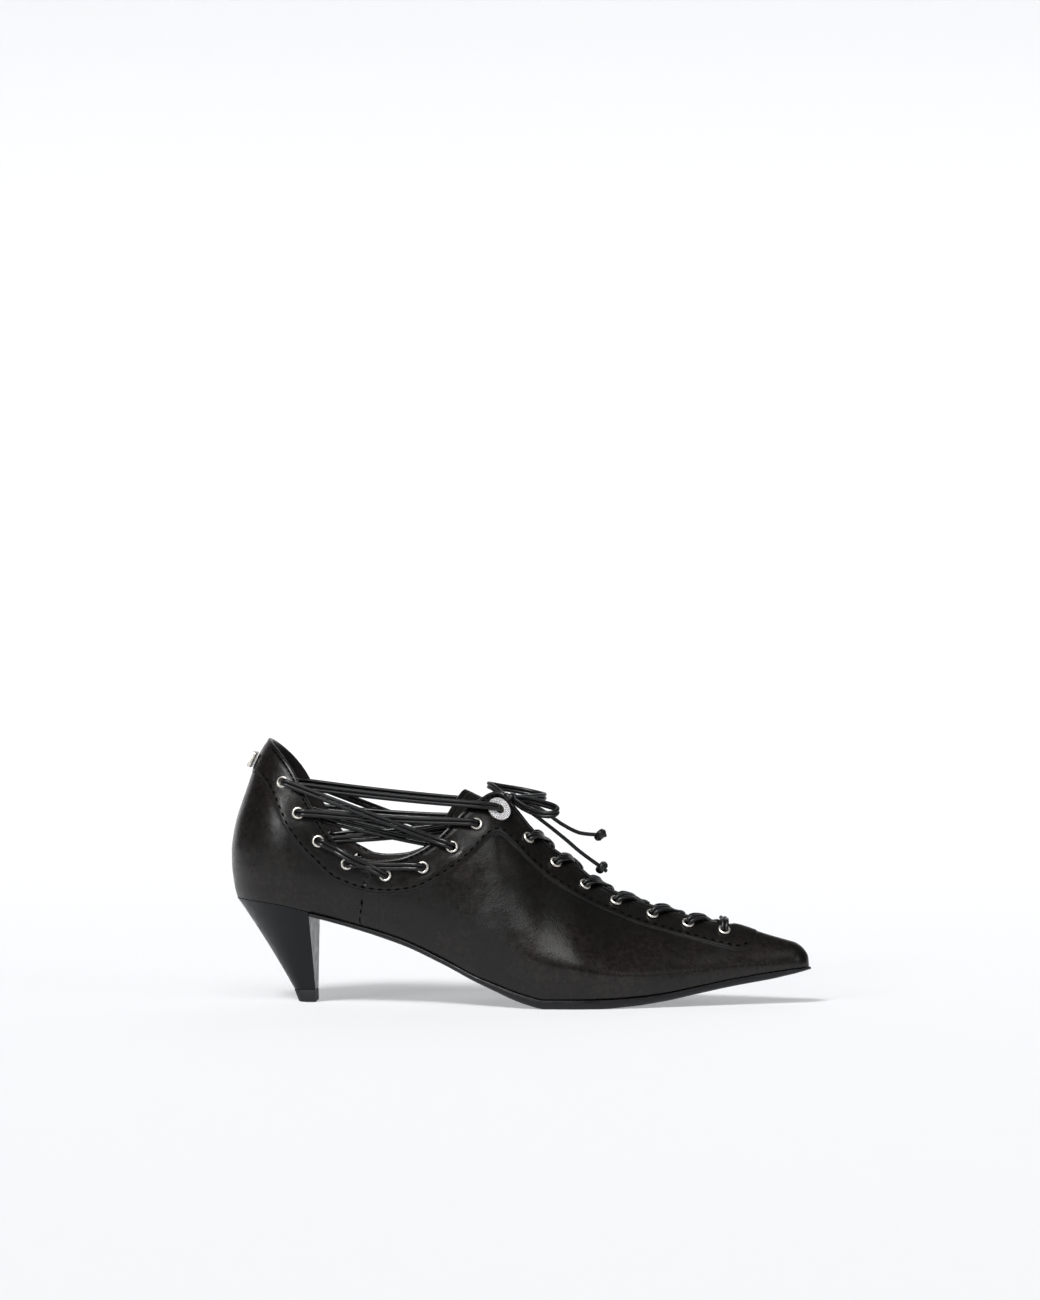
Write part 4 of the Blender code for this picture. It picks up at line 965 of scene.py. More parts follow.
def build_heel():
    """The lacquered heel from its seat to the tip, and the rubber lift below it."""
    turns = np.linspace(-1, 1, 65)

    def seat_width(at, turn):
        return float(section("tread_lateral" if turn < 0 else "tread_medial", at))

    def tip_width(at, turn):
        return HEEL_TIP_WIDTH

    def foot_width(at, turn):
        return LIFT_FOOT_WIDTH

    seat = d_outline(0.0, BREAST_AT, seat_width, HEEL_ROUND, turns)
    tip = d_outline(HEEL_TIP_BACK, HEEL_TIP_FRONT, tip_width, HEEL_TIP_ROUND, turns)
    foot = d_outline(LIFT_FOOT_BACK, LIFT_FOOT_FRONT, foot_width, HEEL_TIP_ROUND, turns)
    lean = float(eased(BACK_CURVE[:, 0], BACK_CURVE[:, 1], section("feather", 0.0)))
    top = []
    for x, y in seat:
        leaned = x + lean * max(1 - x / LEAN_REACH, 0) ** 2 if x < BREAST_AT - 1 else x
        top.append((leaned, y, float(section("feather", x)) - GAP))
    points = []
    for share in np.linspace(0, 1, 25):
        drawn = share + HEEL_WAIST * share * (1 - share)
        for (x0, y0, z0), (x1, y1) in zip(top, tip):
            points.append((x0 + (x1 - x0) * drawn, y0 + (y1 - y0) * drawn, z0 + (LIFT_HEIGHT - z0) * share))
    piece("heel_block", outward("heel", points, tube_faces(25, len(turns)), "heel", 38), "heel", "heel")
    points = []
    middle = (LIFT_FOOT_BACK + LIFT_FOOT_FRONT) / 2
    for share in (0.0, 0.08, 0.5, 0.92, 1.0):
        inset = 0.25 if share in (0.0, 1.0) else 0.0
        z = (LIFT_HEIGHT - GAP) * (1 - share)
        for (x0, y0), (x1, y1) in zip(tip, foot):
            x, y = x0 + (x1 - x0) * share, y0 + (y1 - y0) * share
            points.append((x + (inset if x < middle else -inset), y * (1 - inset / LIFT_HALF_WIDTH), z))
    mesh = outward("top_lift", points, tube_faces(5, len(turns)), "rubber", 38)
    piece("heel_lift", mesh, "rubber", "top_lift")


def build_insole():
    """The padded footbed, crowned and rounded at its edge."""
    stations = INSOLE_FROM + (INSOLE_TO - INSOLE_FROM) * (1 - np.cos(np.linspace(0, math.pi, 110))) / 2
    profile = ((-1.0, 0.0), (-1.0, 0.55), (-0.965, 0.85), (-0.9, 1.0), (-0.5, 1.1), (0.0, 1.15))
    ring = (*profile, *((-a, b) for a, b in profile[-2::-1]))
    points = []
    for at in stations:
        ends = rounded_end(at - INSOLE_FROM, INSOLE_HEEL_ROUND) * rounded_end(INSOLE_TO - at, TOE_ROUND)
        left = float((section("tread_lateral", at) - INSOLE_MARGIN) * ends)
        right = float((section("tread_medial", at) - INSOLE_MARGIN) * ends)
        low = float(section("feather", at))
        x = at + INSOLE_LEAN * max(1 - at / LEAN_REACH, 0) ** 2
        points += [(x, (left if a < 0 else right) * a, low + INSOLE_THICKNESS * b) for a, b in ring]
    mesh = outward("insole", points, tube_faces(len(stations), len(ring)), "lining", 50)
    piece("footbed", mesh, "lining", "insole")


def build_tongue():
    """The tongue: a thin flap with a turned edge, cut to a point at its top."""
    fine = np.linspace(TONGUE[0, 0], TONGUE_FINE_TO, 8)[:-1]
    stations = np.concatenate((fine, np.linspace(TONGUE_FINE_TO, TONGUE[-1, 0], 90)))
    across = np.linspace(-1, 1, 41)
    points = np.empty((len(stations), len(across), 3))
    for i, at in enumerate(stations):
        crown, half, slope = (float(eased(TONGUE[:, 0], TONGUE[:, k], at)) for k in (1, 2, 3))
        y = across * half
        fall = slope * (np.hypot(y, TONGUE_CROWN_RADIUS) - TONGUE_CROWN_RADIUS)
        near_top = max(1 - (at - TONGUE[0, 0]) / TONGUE_SWEEP_REACH, 0)
        swept = at - TONGUE_SWEEP * np.abs(across) ** 1.1 * near_top
        points[i] = np.stack((swept, y, crown - fall), axis=1)
    wide = len(across)
    faces = [
        (r * wide + c, (r + 1) * wide + c, (r + 1) * wide + c + 1, r * wide + c + 1)
        for r in range(len(stations) - 1)
        for c in range(wide - 1)
    ]
    flat = points.reshape(-1, 3)
    border = nearest(flat, np.vstack((points[0], points[:, 0], points[:, -1])))
    marks = {"seam": np.abs(border - 2.0), "edge": border, "trim": np.full(len(flat), 9.0)}
    flat, faces, inside, marks = walled(flat, faces, TONGUE_WALL, np.ones(len(flat), bool), marks)
    mesh = mesh_of("tongue", flat, faces, ("leather", "lining"), 60, marks, inside)
    piece("tongue_leather", mesh, "lining", "tongue")


# Things repeated on points


def guide(name, points, normals, alongs):
    """A mesh of bare points that knows each one's normal and direction."""
    mesh = mesh_of(name, points, [], (), None)
    for mark, values in (("normal_way", normals), ("along_way", alongs)):
        mesh.attributes.new(mark, "FLOAT_VECTOR", "POINT").data.foreach_set(
            "vector", np.asarray(values, float).reshape(-1)
        )
    made = bpy.data.objects.new(name, mesh)
    bpy.context.scene.collection.objects.link(made)
    return made


def repeat_tree(name, inputs, shape):
    """A node tree that sets a shape on every point, turned to its normal and direction.

    inputs are (name, socket type, default), and shape(tree, sockets) gives the geometry to repeat.
    """
    tree = bpy.data.node_groups.new(name, "GeometryNodeTree")
    tree.interface.new_socket("Points", in_out="INPUT", socket_type="NodeSocketGeometry")
    for label, kind, default in inputs:
        socket = tree.interface.new_socket(label, in_out="INPUT", socket_type=kind)
        if default is not None:
            socket.default_value = default
    tree.interface.new_socket("Geometry", in_out="OUTPUT", socket_type="NodeSocketGeometry")
    entry = tree.nodes.new("NodeGroupInput").outputs
    normal, along = (
        add(
            tree, "GeometryNodeInputNamedAttribute", {"Name": mark}, data_type="FLOAT_VECTOR"
        ).outputs["Attribute"]
        for mark in ("normal_way", "along_way")
    )
    upright = add(
        tree, "FunctionNodeAlignRotationToVector", {"Vector": normal}, axis="Z"
    ).outputs["Rotation"]
    turned = add(
        tree, "FunctionNodeAlignRotationToVector", {"Rotation": upright, "Vector": along},
        axis="X", pivot_axis="Z",
    ).outputs["Rotation"]
    if "Seed" in entry:
        angle = add(
            tree, "FunctionNodeRandomValue", {"Seed": entry["Seed"], 2: 0.0, 3: math.tau}, data_type="FLOAT"
        ).outputs[1]
        spin = add(tree, "FunctionNodeAxisAngleToRotation", {"Angle": angle}).outputs["Rotation"]
        turned = add(
            tree, "FunctionNodeRotateRotation", {"Rotation": turned, "Rotate By": spin},
            rotation_space="LOCAL",
        ).outputs["Rotation"]
    placed = add(
        tree, "GeometryNodeInstanceOnPoints",
        {"Points": entry["Points"], "Instance": shape(tree, entry), "Rotation": turned},
    ).outputs["Instances"]
    real = add(tree, "GeometryNodeRealizeInstances", {"Geometry": placed}).outputs["Geometry"]
    dressed = add(tree, "GeometryNodeSetMaterial", {"Geometry": real, "Material": entry["Material"]})
    add(tree, "NodeGroupOutput", {"Geometry": dressed.outputs["Geometry"]})
    return tree


def grown(name, slot, base, tree, values, nodes=(), smooth=35):
    """Runs a tree on a guide and keeps the result as a plain piece."""
    modifier = base.modifiers.new(name, "NODES")
    modifier.node_group = tree
    for item in tree.interface.items_tree:
        if item.item_type == "SOCKET" and item.in_out == "INPUT" and item.name in values:
            modifier[item.identifier] = values[item.name]
    base.update_tag()
    bpy.context.view_layer.update()
    solid = base.evaluated_get(bpy.context.evaluated_depsgraph_get())
    mesh = bpy.data.meshes.new_from_object(solid)
    mesh.name = name
    if smooth:
        mesh.shade_smooth()
        mesh.set_sharp_from_angle(angle=math.radians(smooth))
    else:
        mesh.shade_flat()
    old = base.data
    bpy.data.objects.remove(base)
    bpy.data.meshes.remove(old)
    return piece(name, mesh, slot, *nodes)


def stitch_shape(tree, entry):
    """One stitch: a short fat grain of thread, half sunk in the leather."""
    ball = add(tree, "GeometryNodeMeshUVSphere", {"Segments": 8, "Rings": 6, "Radius": 0.5}).outputs["Mesh"]
    size = add(
        tree, "ShaderNodeCombineXYZ",
        {"X": entry["Stitch length"], "Y": entry["Thread"], "Z": entry["Thread"]},
    ).outputs["Vector"]
    return add(tree, "GeometryNodeTransform", {"Geometry": ball, "Scale": size}).outputs["Geometry"]


def object_shape(tree, entry):
    """The object given as the ring."""
    return add(tree, "GeometryNodeObjectInfo", {"Object": entry["Ring"]}).outputs["Geometry"]


def crystal_shape(tree, entry):
    """A stone: a low eight-sided cone with its point cut off to a table."""
    cone = add(
        tree, "GeometryNodeMeshCone",
        {"Vertices": 8, "Radius Top": 0.26, "Radius Bottom": 0.5, "Depth": 0.32},
    ).outputs["Mesh"]
    size = add(
        tree, "ShaderNodeCombineXYZ", {"X": entry["Crystal"], "Y": entry["Crystal"], "Z": entry["Crystal"]}
    ).outputs["Vector"]
    return add(tree, "GeometryNodeTransform", {"Geometry": cone, "Scale": size}).outputs["Geometry"]


def evenly(points, pitch):
    """Places a pitch apart along a line of points, and the line's direction at each."""
    run = np.concatenate(([0], np.cumsum(np.linalg.norm(np.diff(points, axis=0), axis=1))))
    count = max(2, int(round(run[-1] / pitch)))
    stops = (np.arange(count) + 0.5) * run[-1] / count
    places = np.stack([np.interp(stops, run, points[:, k]) for k in range(3)], axis=1)
    ahead = np.stack([np.interp(stops + 0.3, run, points[:, k]) for k in range(3)], axis=1)
    back = np.stack([np.interp(stops - 0.3, run, points[:, k]) for k in range(3)], axis=1)
    return places, ahead - back


def shifted(line, distance):
    """A side-view line moved sideways, to its left, by a distance."""
    line = smooth_through(line, 0.5)
    along = np.gradient(line, axis=0)
    along /= np.linalg.norm(along, axis=1, keepdims=True)
    return line + np.stack((-along[:, 1], along[:, 0]), axis=1) * distance


def stitch_lines():
    """Each line of stitches, as (side, side-view points, height above the last, pitch)."""
    pitch = sizes().stitch_gap / MM
    for side in SIDES.values():
        yield side, shifted(TRIM_EDGE[1:-2], STITCH_INSET), 0.0, pitch
        yield side, smooth_through(SIDE_SEAM[3:], 0.5), -0.6, pitch
        edge = TOPLINE[(TOPLINE[:, 0] > 18) & (TOPLINE[:, 0] < 126)]
        yield side, shifted(edge, -TOPLINE_STITCH_INSET), 0.0, pitch * 0.65


def build_stitches():
    """All the stitches of the upper, as one piece."""
    places, normals, alongs = [], [], []
    detail = sizes()
    for side, line, height, pitch in stitch_lines():
        on_leather = on_wall(line[:, 0], line[:, 1], side, np.full(len(line), height))[0]
        spots_on, along = evenly(on_leather, pitch)
        places.append(spots_on)
        alongs.append(along)
        normals.append(on_wall(spots_on[:, 0], spots_on[:, 2], side)[1])
    base = guide("stitches", np.vstack(places), np.vstack(normals), np.vstack(alongs))
    tree = repeat_tree(
        "Seam stitches",
        (
            ("Stitch length", "NodeSocketFloat", 0.0015),
            ("Thread", "NodeSocketFloat", 0.0005),
            ("Material", "NodeSocketMaterial", None),
        ),
        stitch_shape,
    )
    values = {"Stitch length": detail.stitch, "Thread": detail.thread, "Material": finish("thread")}
    grown("seam_stitches", "cord", base, tree, values, smooth=80)


def turned_ring(name, profile, sides=36):
    """A ring turned on a lathe about Z, as an object to repeat."""
    mesh = bpy.data.meshes.new(name)
    count = len(profile)
    points = [
        (r * MM * math.cos(math.tau * i / sides), r * MM * math.sin(math.tau * i / sides), h * MM)
        for i in range(sides)
        for r, h in profile
    ]
    faces = [
        (i * count + k, ((i + 1) % sides) * count + k,
         ((i + 1) % sides) * count + (k + 1) % count, i * count + (k + 1) % count)
        for i in range(sides)
        for k in range(count)
    ]
    mesh.from_pydata(points, [], faces)
    built = bmesh.new()
    built.from_mesh(mesh)
    bmesh.ops.recalc_face_normals(built, faces=built.faces)
    built.to_mesh(mesh)
    built.free()
    made = bpy.data.objects.new(name, mesh)
    bpy.context.scene.collection.objects.link(made)
    return made


RING_LIFT = 0.3
RING_INPUTS = (("Ring", "NodeSocketObject", None), ("Material", "NodeSocketMaterial", None))


def set_rings(name, profile, places, sides, nodes):
    """One ring at each place on each side, standing for its nodes."""
    ring = turned_ring(name + "_ring", profile)
    centres, normals = [], []
    for side in sides:
        x, z = np.array(places).T
        centre, normal = on_wall(x, z, side, np.full(len(x), RING_LIFT))
        centres.append(centre)
        normals.append(normal)
    normals = np.vstack(normals)
    base = guide(name, np.vstack(centres), normals, np.tile((1.0, 0.0, 0.0), (len(normals), 1)))
    tree = repeat_tree(name + " rings", RING_INPUTS, object_shape)
    made = grown(name, "steel", base, tree, {"Ring": ring, "Material": finish("steel")}, nodes)
    old = ring.data
    bpy.data.objects.remove(ring)
    bpy.data.meshes.remove(old)
    return made


def build_eyelets():
    """The small rings, with a rolled flange and a barrel through the leather."""
    detail = sizes()
    hole, edge = detail.ring_hole / MM, detail.ring_edge / MM
    profile = (
        (hole + 0.12, -2.0), (hole + 0.3, -2.05), (hole + 0.3, -0.1), (edge, -0.1), (edge + 0.02, 0.12),
        (edge - 0.12, 0.38), (edge - 0.45, 0.58), (hole + 0.42, 0.62), (hole + 0.16, 0.5), (hole, 0.2),
        (hole + 0.05, -1.4),
    )
    side_nodes = [f"eyelet_side_{word}_{i}" for word in SIDES for i in range(1, 9)]
    front_nodes = [f"eyelet_front_{word}_{i}" for word in SIDES for i in range(1, 8)]
    set_rings("side_eyelets", profile, SIDE_EYELETS, SIDES.values(), side_nodes)
    set_rings("front_eyelets", profile, FRONT_EYELETS, SIDES.values(), front_nodes)


def build_top_eyelets():
    """The large rings, and the stones set close together in circles on them."""
    detail = sizes()
    hole, edge = detail.top_ring_hole / MM, detail.top_ring_edge / MM
    profile = (
        (hole + 0.1, -2.0), (hole + 0.35, -2.05), (hole + 0.35, -0.2), (edge, -0.2), (edge + 0.05, 0.4),
        (edge - 0.1, 0.78), (edge - 0.35, 0.86), (edge - 0.5, 0.62), (hole + 0.5, 0.62),
        (hole + 0.32, 0.86), (hole + 0.12, 0.8), (hole, 0.5), (hole + 0.02, -1.0),
    )
    nodes = [f"eyelet_top_{word}" for word in SIDES]
    set_rings("top_eyelets", profile, (TOP_EYELET,), SIDES.values(), nodes)
    stone = detail.crystal / MM
    places, normals, alongs = [], [], []
    for side in SIDES.values():
        centre, normal = on_wall(*TOP_EYELET, side, RING_LIFT + 0.7)
        across = np.cross(normal, (0.0, 0.0, 1.0))
        across /= np.linalg.norm(across)
        up = np.cross(across, normal)
        for radius in np.linspace(hole + 0.75, edge - 0.55, 3):
            count = int(math.tau * radius / (stone * 0.96))
            for i in range(count):
                angle = math.tau * (i + radius) / count
                places.append(centre + radius * (across * math.cos(angle) + up * math.sin(angle)))
                normals.append(normal)
                alongs.append(across)
    base = guide("stones", np.array(places), np.array(normals), np.array(alongs))
    tree = repeat_tree(
        "Stones",
        (
            ("Crystal", "NodeSocketFloat", 0.001),
            ("Seed", "NodeSocketInt", 0),
            ("Material", "NodeSocketMaterial", None),
        ),
        crystal_shape,
    )
    values = {"Crystal": detail.crystal, "Seed": detail.seed, "Material": finish("crystal")}
    grown("eyelet_stones", "steel", base, tree, values, smooth=None)


# The cord


def frames_along(route):
    """Two directions across a route at each of its points, which turn as little as they can."""
    ahead = np.gradient(route, axis=0)
    ahead /= np.linalg.norm(ahead, axis=1, keepdims=True)
    first = np.cross(ahead[0], (0.0, 0.0, 1.0) if abs(ahead[0][2]) < 0.9 else (1.0, 0.0, 0.0))
    first /= np.linalg.norm(first)
    out = [first]
    for a in ahead[1:]:
        turned = out[-1] - a * a.dot(out[-1])
        out.append(turned / np.linalg.norm(turned))
    out = np.array(out)
    return ahead, out, np.cross(ahead, out)


CORD_END_ROUND = 0.6


def cord_mesh(route, radius=CORD / 2, sides=12):
    """(points, faces) of a round cord with rounded ends along a route."""
    ahead, first, second = frames_along(route)
    rings = [(p, f, s, radius) for p, f, s in zip(route, first, second)]
    for turn in (25, 50, 80):
        out = radius * math.sin(math.radians(turn)) * CORD_END_ROUND
        narrow = radius * math.cos(math.radians(turn))
        rings.insert(0, (route[0] - ahead[0] * out, first[0], second[0], narrow))
        rings.append((route[-1] + ahead[-1] * out, first[-1], second[-1], narrow))
    points = [
        p + f * r * math.cos(math.tau * i / sides) + s * r * math.sin(math.tau * i / sides)
        for p, f, s, r in rings
        for i in range(sides)
    ]
    return points, tube_faces(len(rings), sides)


def joined(parts):
    """Several (points, faces) as one."""
    points, faces = [], []
    for more, with_faces in parts:
        first = len(points)
        points += list(more)
        faces += [tuple(first + v for v in face) for face in with_faces]
    return points, faces


def doubled(stops, apart=0.92):
    """Two cords side by side through stops of (point, normal)."""
    centre = smooth_through([p for p, _ in stops], 1.0)
    anchors = np.array([p for p, _ in stops])
    ways = np.array([n for _, n in stops])
    run = np.concatenate(([0], np.cumsum(np.linalg.norm(np.diff(centre, axis=0), axis=1))))
    marks = [run[np.argmin(np.linalg.norm(centre - a, axis=1))] for a in anchors]
    marks = np.maximum.accumulate(np.array(marks) + np.arange(len(marks)) * 1e-6)
    normal = np.stack([np.interp(run, marks, ways[:, k]) for k in range(3)], axis=1)
    ahead = np.gradient(centre, axis=0)
    across = np.cross(ahead, normal)
    lengths = np.linalg.norm(across, axis=1, keepdims=True)
    across = across / np.maximum(lengths, 1e-6)
    for i in range(1, len(across)):
        if across[i].dot(across[i - 1]) < 0:
            across[i] = -across[i]
        across[i] = 0.6 * across[i] + 0.4 * across[i - 1]
        across[i] /= np.linalg.norm(across[i])
    return [cord_mesh(centre + across * apart * way) for way in (-1, 1)]


def eyelet_place(number):
    """An eyelet of the open side by its number, with the large one last."""
    return (*SIDE_EYELETS, TOP_EYELET)[number - 1]


# How far from a hole's middle a cord passes and how high above the leather, over a ring or under it.
OVER_SMALL_RING = ((0.0, -0.4), (0.35, 1.0), (2.3, 2.15), (4.2, 1.95))
OVER_LARGE_RING = ((0.0, -0.6), (0.5, 1.5), (3.2, 2.9), (6.4, 2.7))
UNDER_RING = ((0.0, -0.6), (0.3, -2.6), (2.0, -3.4), (4.0, -3.3))


def over_ring(x, z, towards, side, face, large=False):
    """The way out of a hole, over or under the ring's edge towards a point, as (point, normal) stops."""
    reach = math.hypot(towards[0] - x, towards[1] - z)
    ux, uz = (towards[0] - x) / reach, (towards[1] - z) / reach
    rows = UNDER_RING
    if face > 0:
        rows = OVER_LARGE_RING if large else OVER_SMALL_RING
    return [on_wall(x + ux * step, z + uz * step, side, lift) for step, lift in rows]


def side_run(row, side):
    """One run of the side lacing, as (point, normal) stops from eyelet to eyelet."""
    start, leave, meet, end, start_face, end_face, bulge = row
    (x0, z0), (x1, z1) = eyelet_place(start), eyelet_place(end)
    slope = (z1 - z0) / (x1 - x0)
    first = over_ring(x0, z0, (x1, z1), side, start_face)
    last = over_ring(x1, z1, (x0, z0), side, end_face, end == LARGE_RING)[::-1]
    a, na = on_wall(leave, z0 + slope * (leave - x0), side, RUN_LIFTS[start_face])
    lift = RUN_LIFTS[end_face] + (LARGE_RING_LIFT if end == LARGE_RING else 0.0)
    c, nc = on_wall(meet, z0 + slope * (meet - x0), side, lift)
    middle = []
    for share in (0.2, 0.4, 0.6, 0.8):
        normal = na * (1 - share) + nc * share
        swell = 4 * share * (1 - share)
        place = a * (1 - share) + c * share + normal * bulge * swell - np.array((0, 0, RUN_SAG)) * swell
        middle.append((place, normal))
    return [*first, (a, na), *middle, (c, nc), *last]


def build_side_laces():
    """The doubled cord across each open side, through its eyelets."""
    for word, side in SIDES.items():
        parts = [cord for row in SIDE_RUNS for cord in doubled(side_run(row, side))]
        mesh = outward(f"side_lace_{word}", *joined(parts), "cord", 60)
        piece(f"side_lace_{word}", mesh, "cord", f"lace_side_{word}")


def crossing(start, stop, side, on_top):
    """The stops of half a crossing: out of a hole, over the edge, across, and under the other facing."""
    (x0, z0), (x1, z1) = start, stop
    pitch = x1 - x0
    edge, edge_normal = throat_edge(x0 + EDGE_SHARE * pitch, side, 0.6)
    first = over_ring(x0, z0, (edge[0], edge[2]), side, 1)[:3]
    x_mid = x0 + CREST_SHARE * pitch
    over_tongue = float(eased(TONGUE[:, 0], TONGUE[:, 1], x_mid)) + (UPPER_CREST if on_top else LOWER_CREST)
    crest = np.array((x_mid, 0.0, over_tongue))
    under, under_normal = throat_edge(x0 + UNDER_SHARE * pitch, -side, -0.9, -0.6)
    deep, deep_normal = on_wall((x0 + x1 * 3) / 4, (z0 + z1 * 3) / 4, -side, -3.0)
    hole, hole_normal = on_wall(x1, z1, -side, -2.4)
    up = np.array((0.35, 0.0, 1.0))
    last = ((under, under_normal), (deep, deep_normal), (hole, hole_normal))
    return [*first, (edge, edge_normal), (crest, up), *last]


def build_front_laces():
    """The crossings of the front lacing, its first bar and the tie under the knot."""
    for i, (start, stop) in enumerate(zip(FRONT_EYELETS, FRONT_EYELETS[1:]), 1):
        parts = []
        for side in (LATERAL, MEDIAL):
            parts += doubled(crossing(start, stop, side, (side == LATERAL) == (i % 2 == 1)))
        mesh = outward(f"front_lace_{i}", *joined(parts), "cord", 60)
        piece(f"front_lace_{i}", mesh, "cord", f"lace_front_{i}")
    x, z = FRONT_EYELETS[-1]
    halves = []
    for side in (LATERAL, MEDIAL):
        edge, edge_normal = throat_edge(x - 0.4, side, 1.3)
        halves.append([*over_ring(x, z, (edge[0], edge[2]), side, 1)[:3], (edge, edge_normal)])
    crest = (np.array((x - 0.6, 0.0, float(ridge_height(x)) + 1.1)), np.array((0.2, 0.0, 1.0)))
    mesh = outward("front_bar", *joined(doubled([*halves[0], crest, *halves[1][::-1]])), "cord", 60)
    piece("front_bar", mesh, "cord", "lace_front_bar")
    halves = []
    for side in (LATERAL, MEDIAL):
        halves.append([
            on_wall(*TOP_EYELET, side, -0.2), on_wall(*TOP_EYELET, side, -2.6),
            on_wall(125.4, 89.6, side, -3.4), throat_edge(127.5, side, -3.2),
        ])
    crest = (np.array((128.6, 0.0, 89.0)), np.array((0.0, 0.0, 1.0)))
    mesh = outward("knot_tie", *joined(doubled([*halves[0], crest, *halves[1][::-1]])), "cord", 60)
    piece("knot_tie", mesh, "cord", "lace_front_tie")


def from_knot(point):
    """Where a cord towards a point leaves the knot."""
    ahead = np.array(point) - np.array(KNOT)
    ahead /= np.linalg.norm(ahead)
    reach = 1 / math.sqrt(sum((a / r) ** 2 for a, r in zip(ahead, KNOT_RADII)))
    return np.array(KNOT) + ahead * (reach + GAP)


def knotted(centre, radii, thickness=CORD / 2, turn=0.0):
    """A tight knot: one cord wound through itself three times, filling an egg of those radii."""
    t = np.linspace(0, math.tau, 61)[:-1]
    x, y, z = np.sin(t) + 2 * np.sin(2 * t), np.cos(t) - 2 * np.cos(2 * t), -np.sin(3 * t)
    spun_x, spun_z = x * math.cos(turn) - z * math.sin(turn), x * math.sin(turn) + z * math.cos(turn)
    spun = np.stack((spun_x, y, spun_z), axis=1)
    route = np.array(centre) + spun * (np.array(radii) - thickness) / np.abs(spun).max(axis=0)
    closed = np.vstack((route, route[:1]))
    _, first, second = frames_along(closed)
    sides = 12
    points = [
        p + (f * math.cos(math.tau * i / sides) + s * math.sin(math.tau * i / sides)) * thickness
        for p, f, s in zip(closed, first, second)
        for i in range(sides)
    ]
    return points, tube_faces(len(closed), sides)


def knot_core(centre, radii, sides=16, rings=8):
    """The filled middle of a knot."""
    points = [
        (centre[0] + radii[0] * math.sin(math.pi * r / rings) * math.cos(math.tau * k / sides),
         centre[1] + radii[1] * math.sin(math.pi * r / rings) * math.sin(math.tau * k / sides),
         centre[2] - radii[2] * math.cos(math.pi * r / rings))
        for r in range(rings + 1)
        for k in range(sides)
    ]
    return points, tube_faces(rings + 1, sides, capped=False)


def free_cord(name, node, route, apart=0.0):
    """One cord along a route from the knot. If doubled, its two cords lie one above the other."""
    path = smooth_through(route, 1.2)
    lifts = (-apart, apart) if apart else (0.0,)
    parts = [cord_mesh(path + np.array((0.0, 0.0, lift))) for lift in lifts]
    mesh = outward(name, *joined(parts), "cord", 60)
    made = piece(name, mesh, "cord", node)
    return made


def build_bow():
    """The bow: its knot, two loops, and two ends that finish in small knots."""
    core = knot_core(KNOT, [r * KNOT_CORE for r in KNOT_RADII])
    knot_parts = [knotted(KNOT, KNOT_RADII, KNOT_CORD), core]
    piece("bow_knot_cord", outward("bow_knot_cord", *joined(knot_parts), "cord", 60), "cord", "bow_knot")
    for word, route in (("medial", LOOP_FAR), ("lateral", LOOP_NEAR)):
        whole = (from_knot(route[0]), *route, from_knot(route[-1]))
        free_cord(f"loop_{word}", f"bow_loop_{word}", whole, LOOP_APART)
    for word, route in (("upper", END_UPPER), ("lower", END_LOWER)):
        ahead = np.array(route[-1]) - np.array(route[-2])
        ahead /= np.linalg.norm(ahead)
        centre = np.array(route[-1]) + ahead * (END_KNOT_RADIUS + GAP)
        size = [END_KNOT_RADIUS + END_KNOT_SWELL] * 3
        core = knot_core(centre, [r * END_KNOT_CORE for r in size])
        parts = [knotted(centre, size, END_KNOT_CORD, END_KNOT_TURN), core]
        stub = np.array([centre + ahead * t for t in (-3.2, -2.0, 0.0, 1.6, 2.6)])
        parts.append(cord_mesh(stub, CORD / 2))
        name = f"end_knot_{word}"
        knot = piece(name, outward(name, *joined(parts), "cord", 60), "cord", f"lace_end_knot_{word}")
        free_cord(f"end_{word}", f"lace_end_{word}", (from_knot(route[0]), *route))


def build_badge():
    """The bare metal bar on the back of the collar."""
    low, middle, high = (
        np.array((float(eased(BACK_CURVE[:, 0], BACK_CURVE[:, 1], z)), 0.0, z))
        for z in (BADGE_Z - BADGE_HEIGHT / 2, BADGE_Z, BADGE_Z + BADGE_HEIGHT / 2)
    )
    up = (high - low) / np.linalg.norm(high - low)
    out = np.array((-up[2], 0.0, up[0]))
    bow = max((low - middle).dot(out), (high - middle).dot(out), 0)
    half_thickness = (BADGE_THICKNESS - BADGE_PINS) / 2
    centre = middle + out * (GAP + BADGE_PINS + bow + half_thickness)
    across = np.array((0.0, 1.0, 0.0))
    points = []
    soft = 0.45
    for depth, inset in ((-1, soft * 0.3), (-0.8, 0.0), (0.45, 0.0), (0.85, soft * 0.4), (1.0, soft)):
        half_w, half_h = BADGE_WIDTH / 2 - inset, BADGE_HEIGHT / 2 - inset
        corner = 1.1
        for quarter, (sw, sh) in enumerate(((1, 1), (-1, 1), (-1, -1), (1, -1))):
            for k in range(5):
                a = math.pi / 2 * (quarter + k / 4)
                w = sw * (half_w - corner) + corner * math.cos(a)
                h = sh * (half_h - corner) + corner * math.sin(a)
                points.append(centre + across * w + up * h + out * depth * half_thickness)
    piece("collar_badge", outward("badge", points, tube_faces(5, 20), "steel", 30), "steel", "heel_badge")


# The stage


def far_softbox(name, place, degrees, strength):
    """A softbox so far off that it lights the paper evenly. It shines from place to the floor's middle."""
    light = bpy.data.lights.new(name, "SUN")
    light.angle, light.energy = math.radians(degrees), strength
    made = bpy.data.objects.new(name, light)
    made.location = place
    made.rotation_euler = Vector(place).to_track_quat("Z", "Y").to_euler()
    bpy.context.scene.collection.objects.link(made)


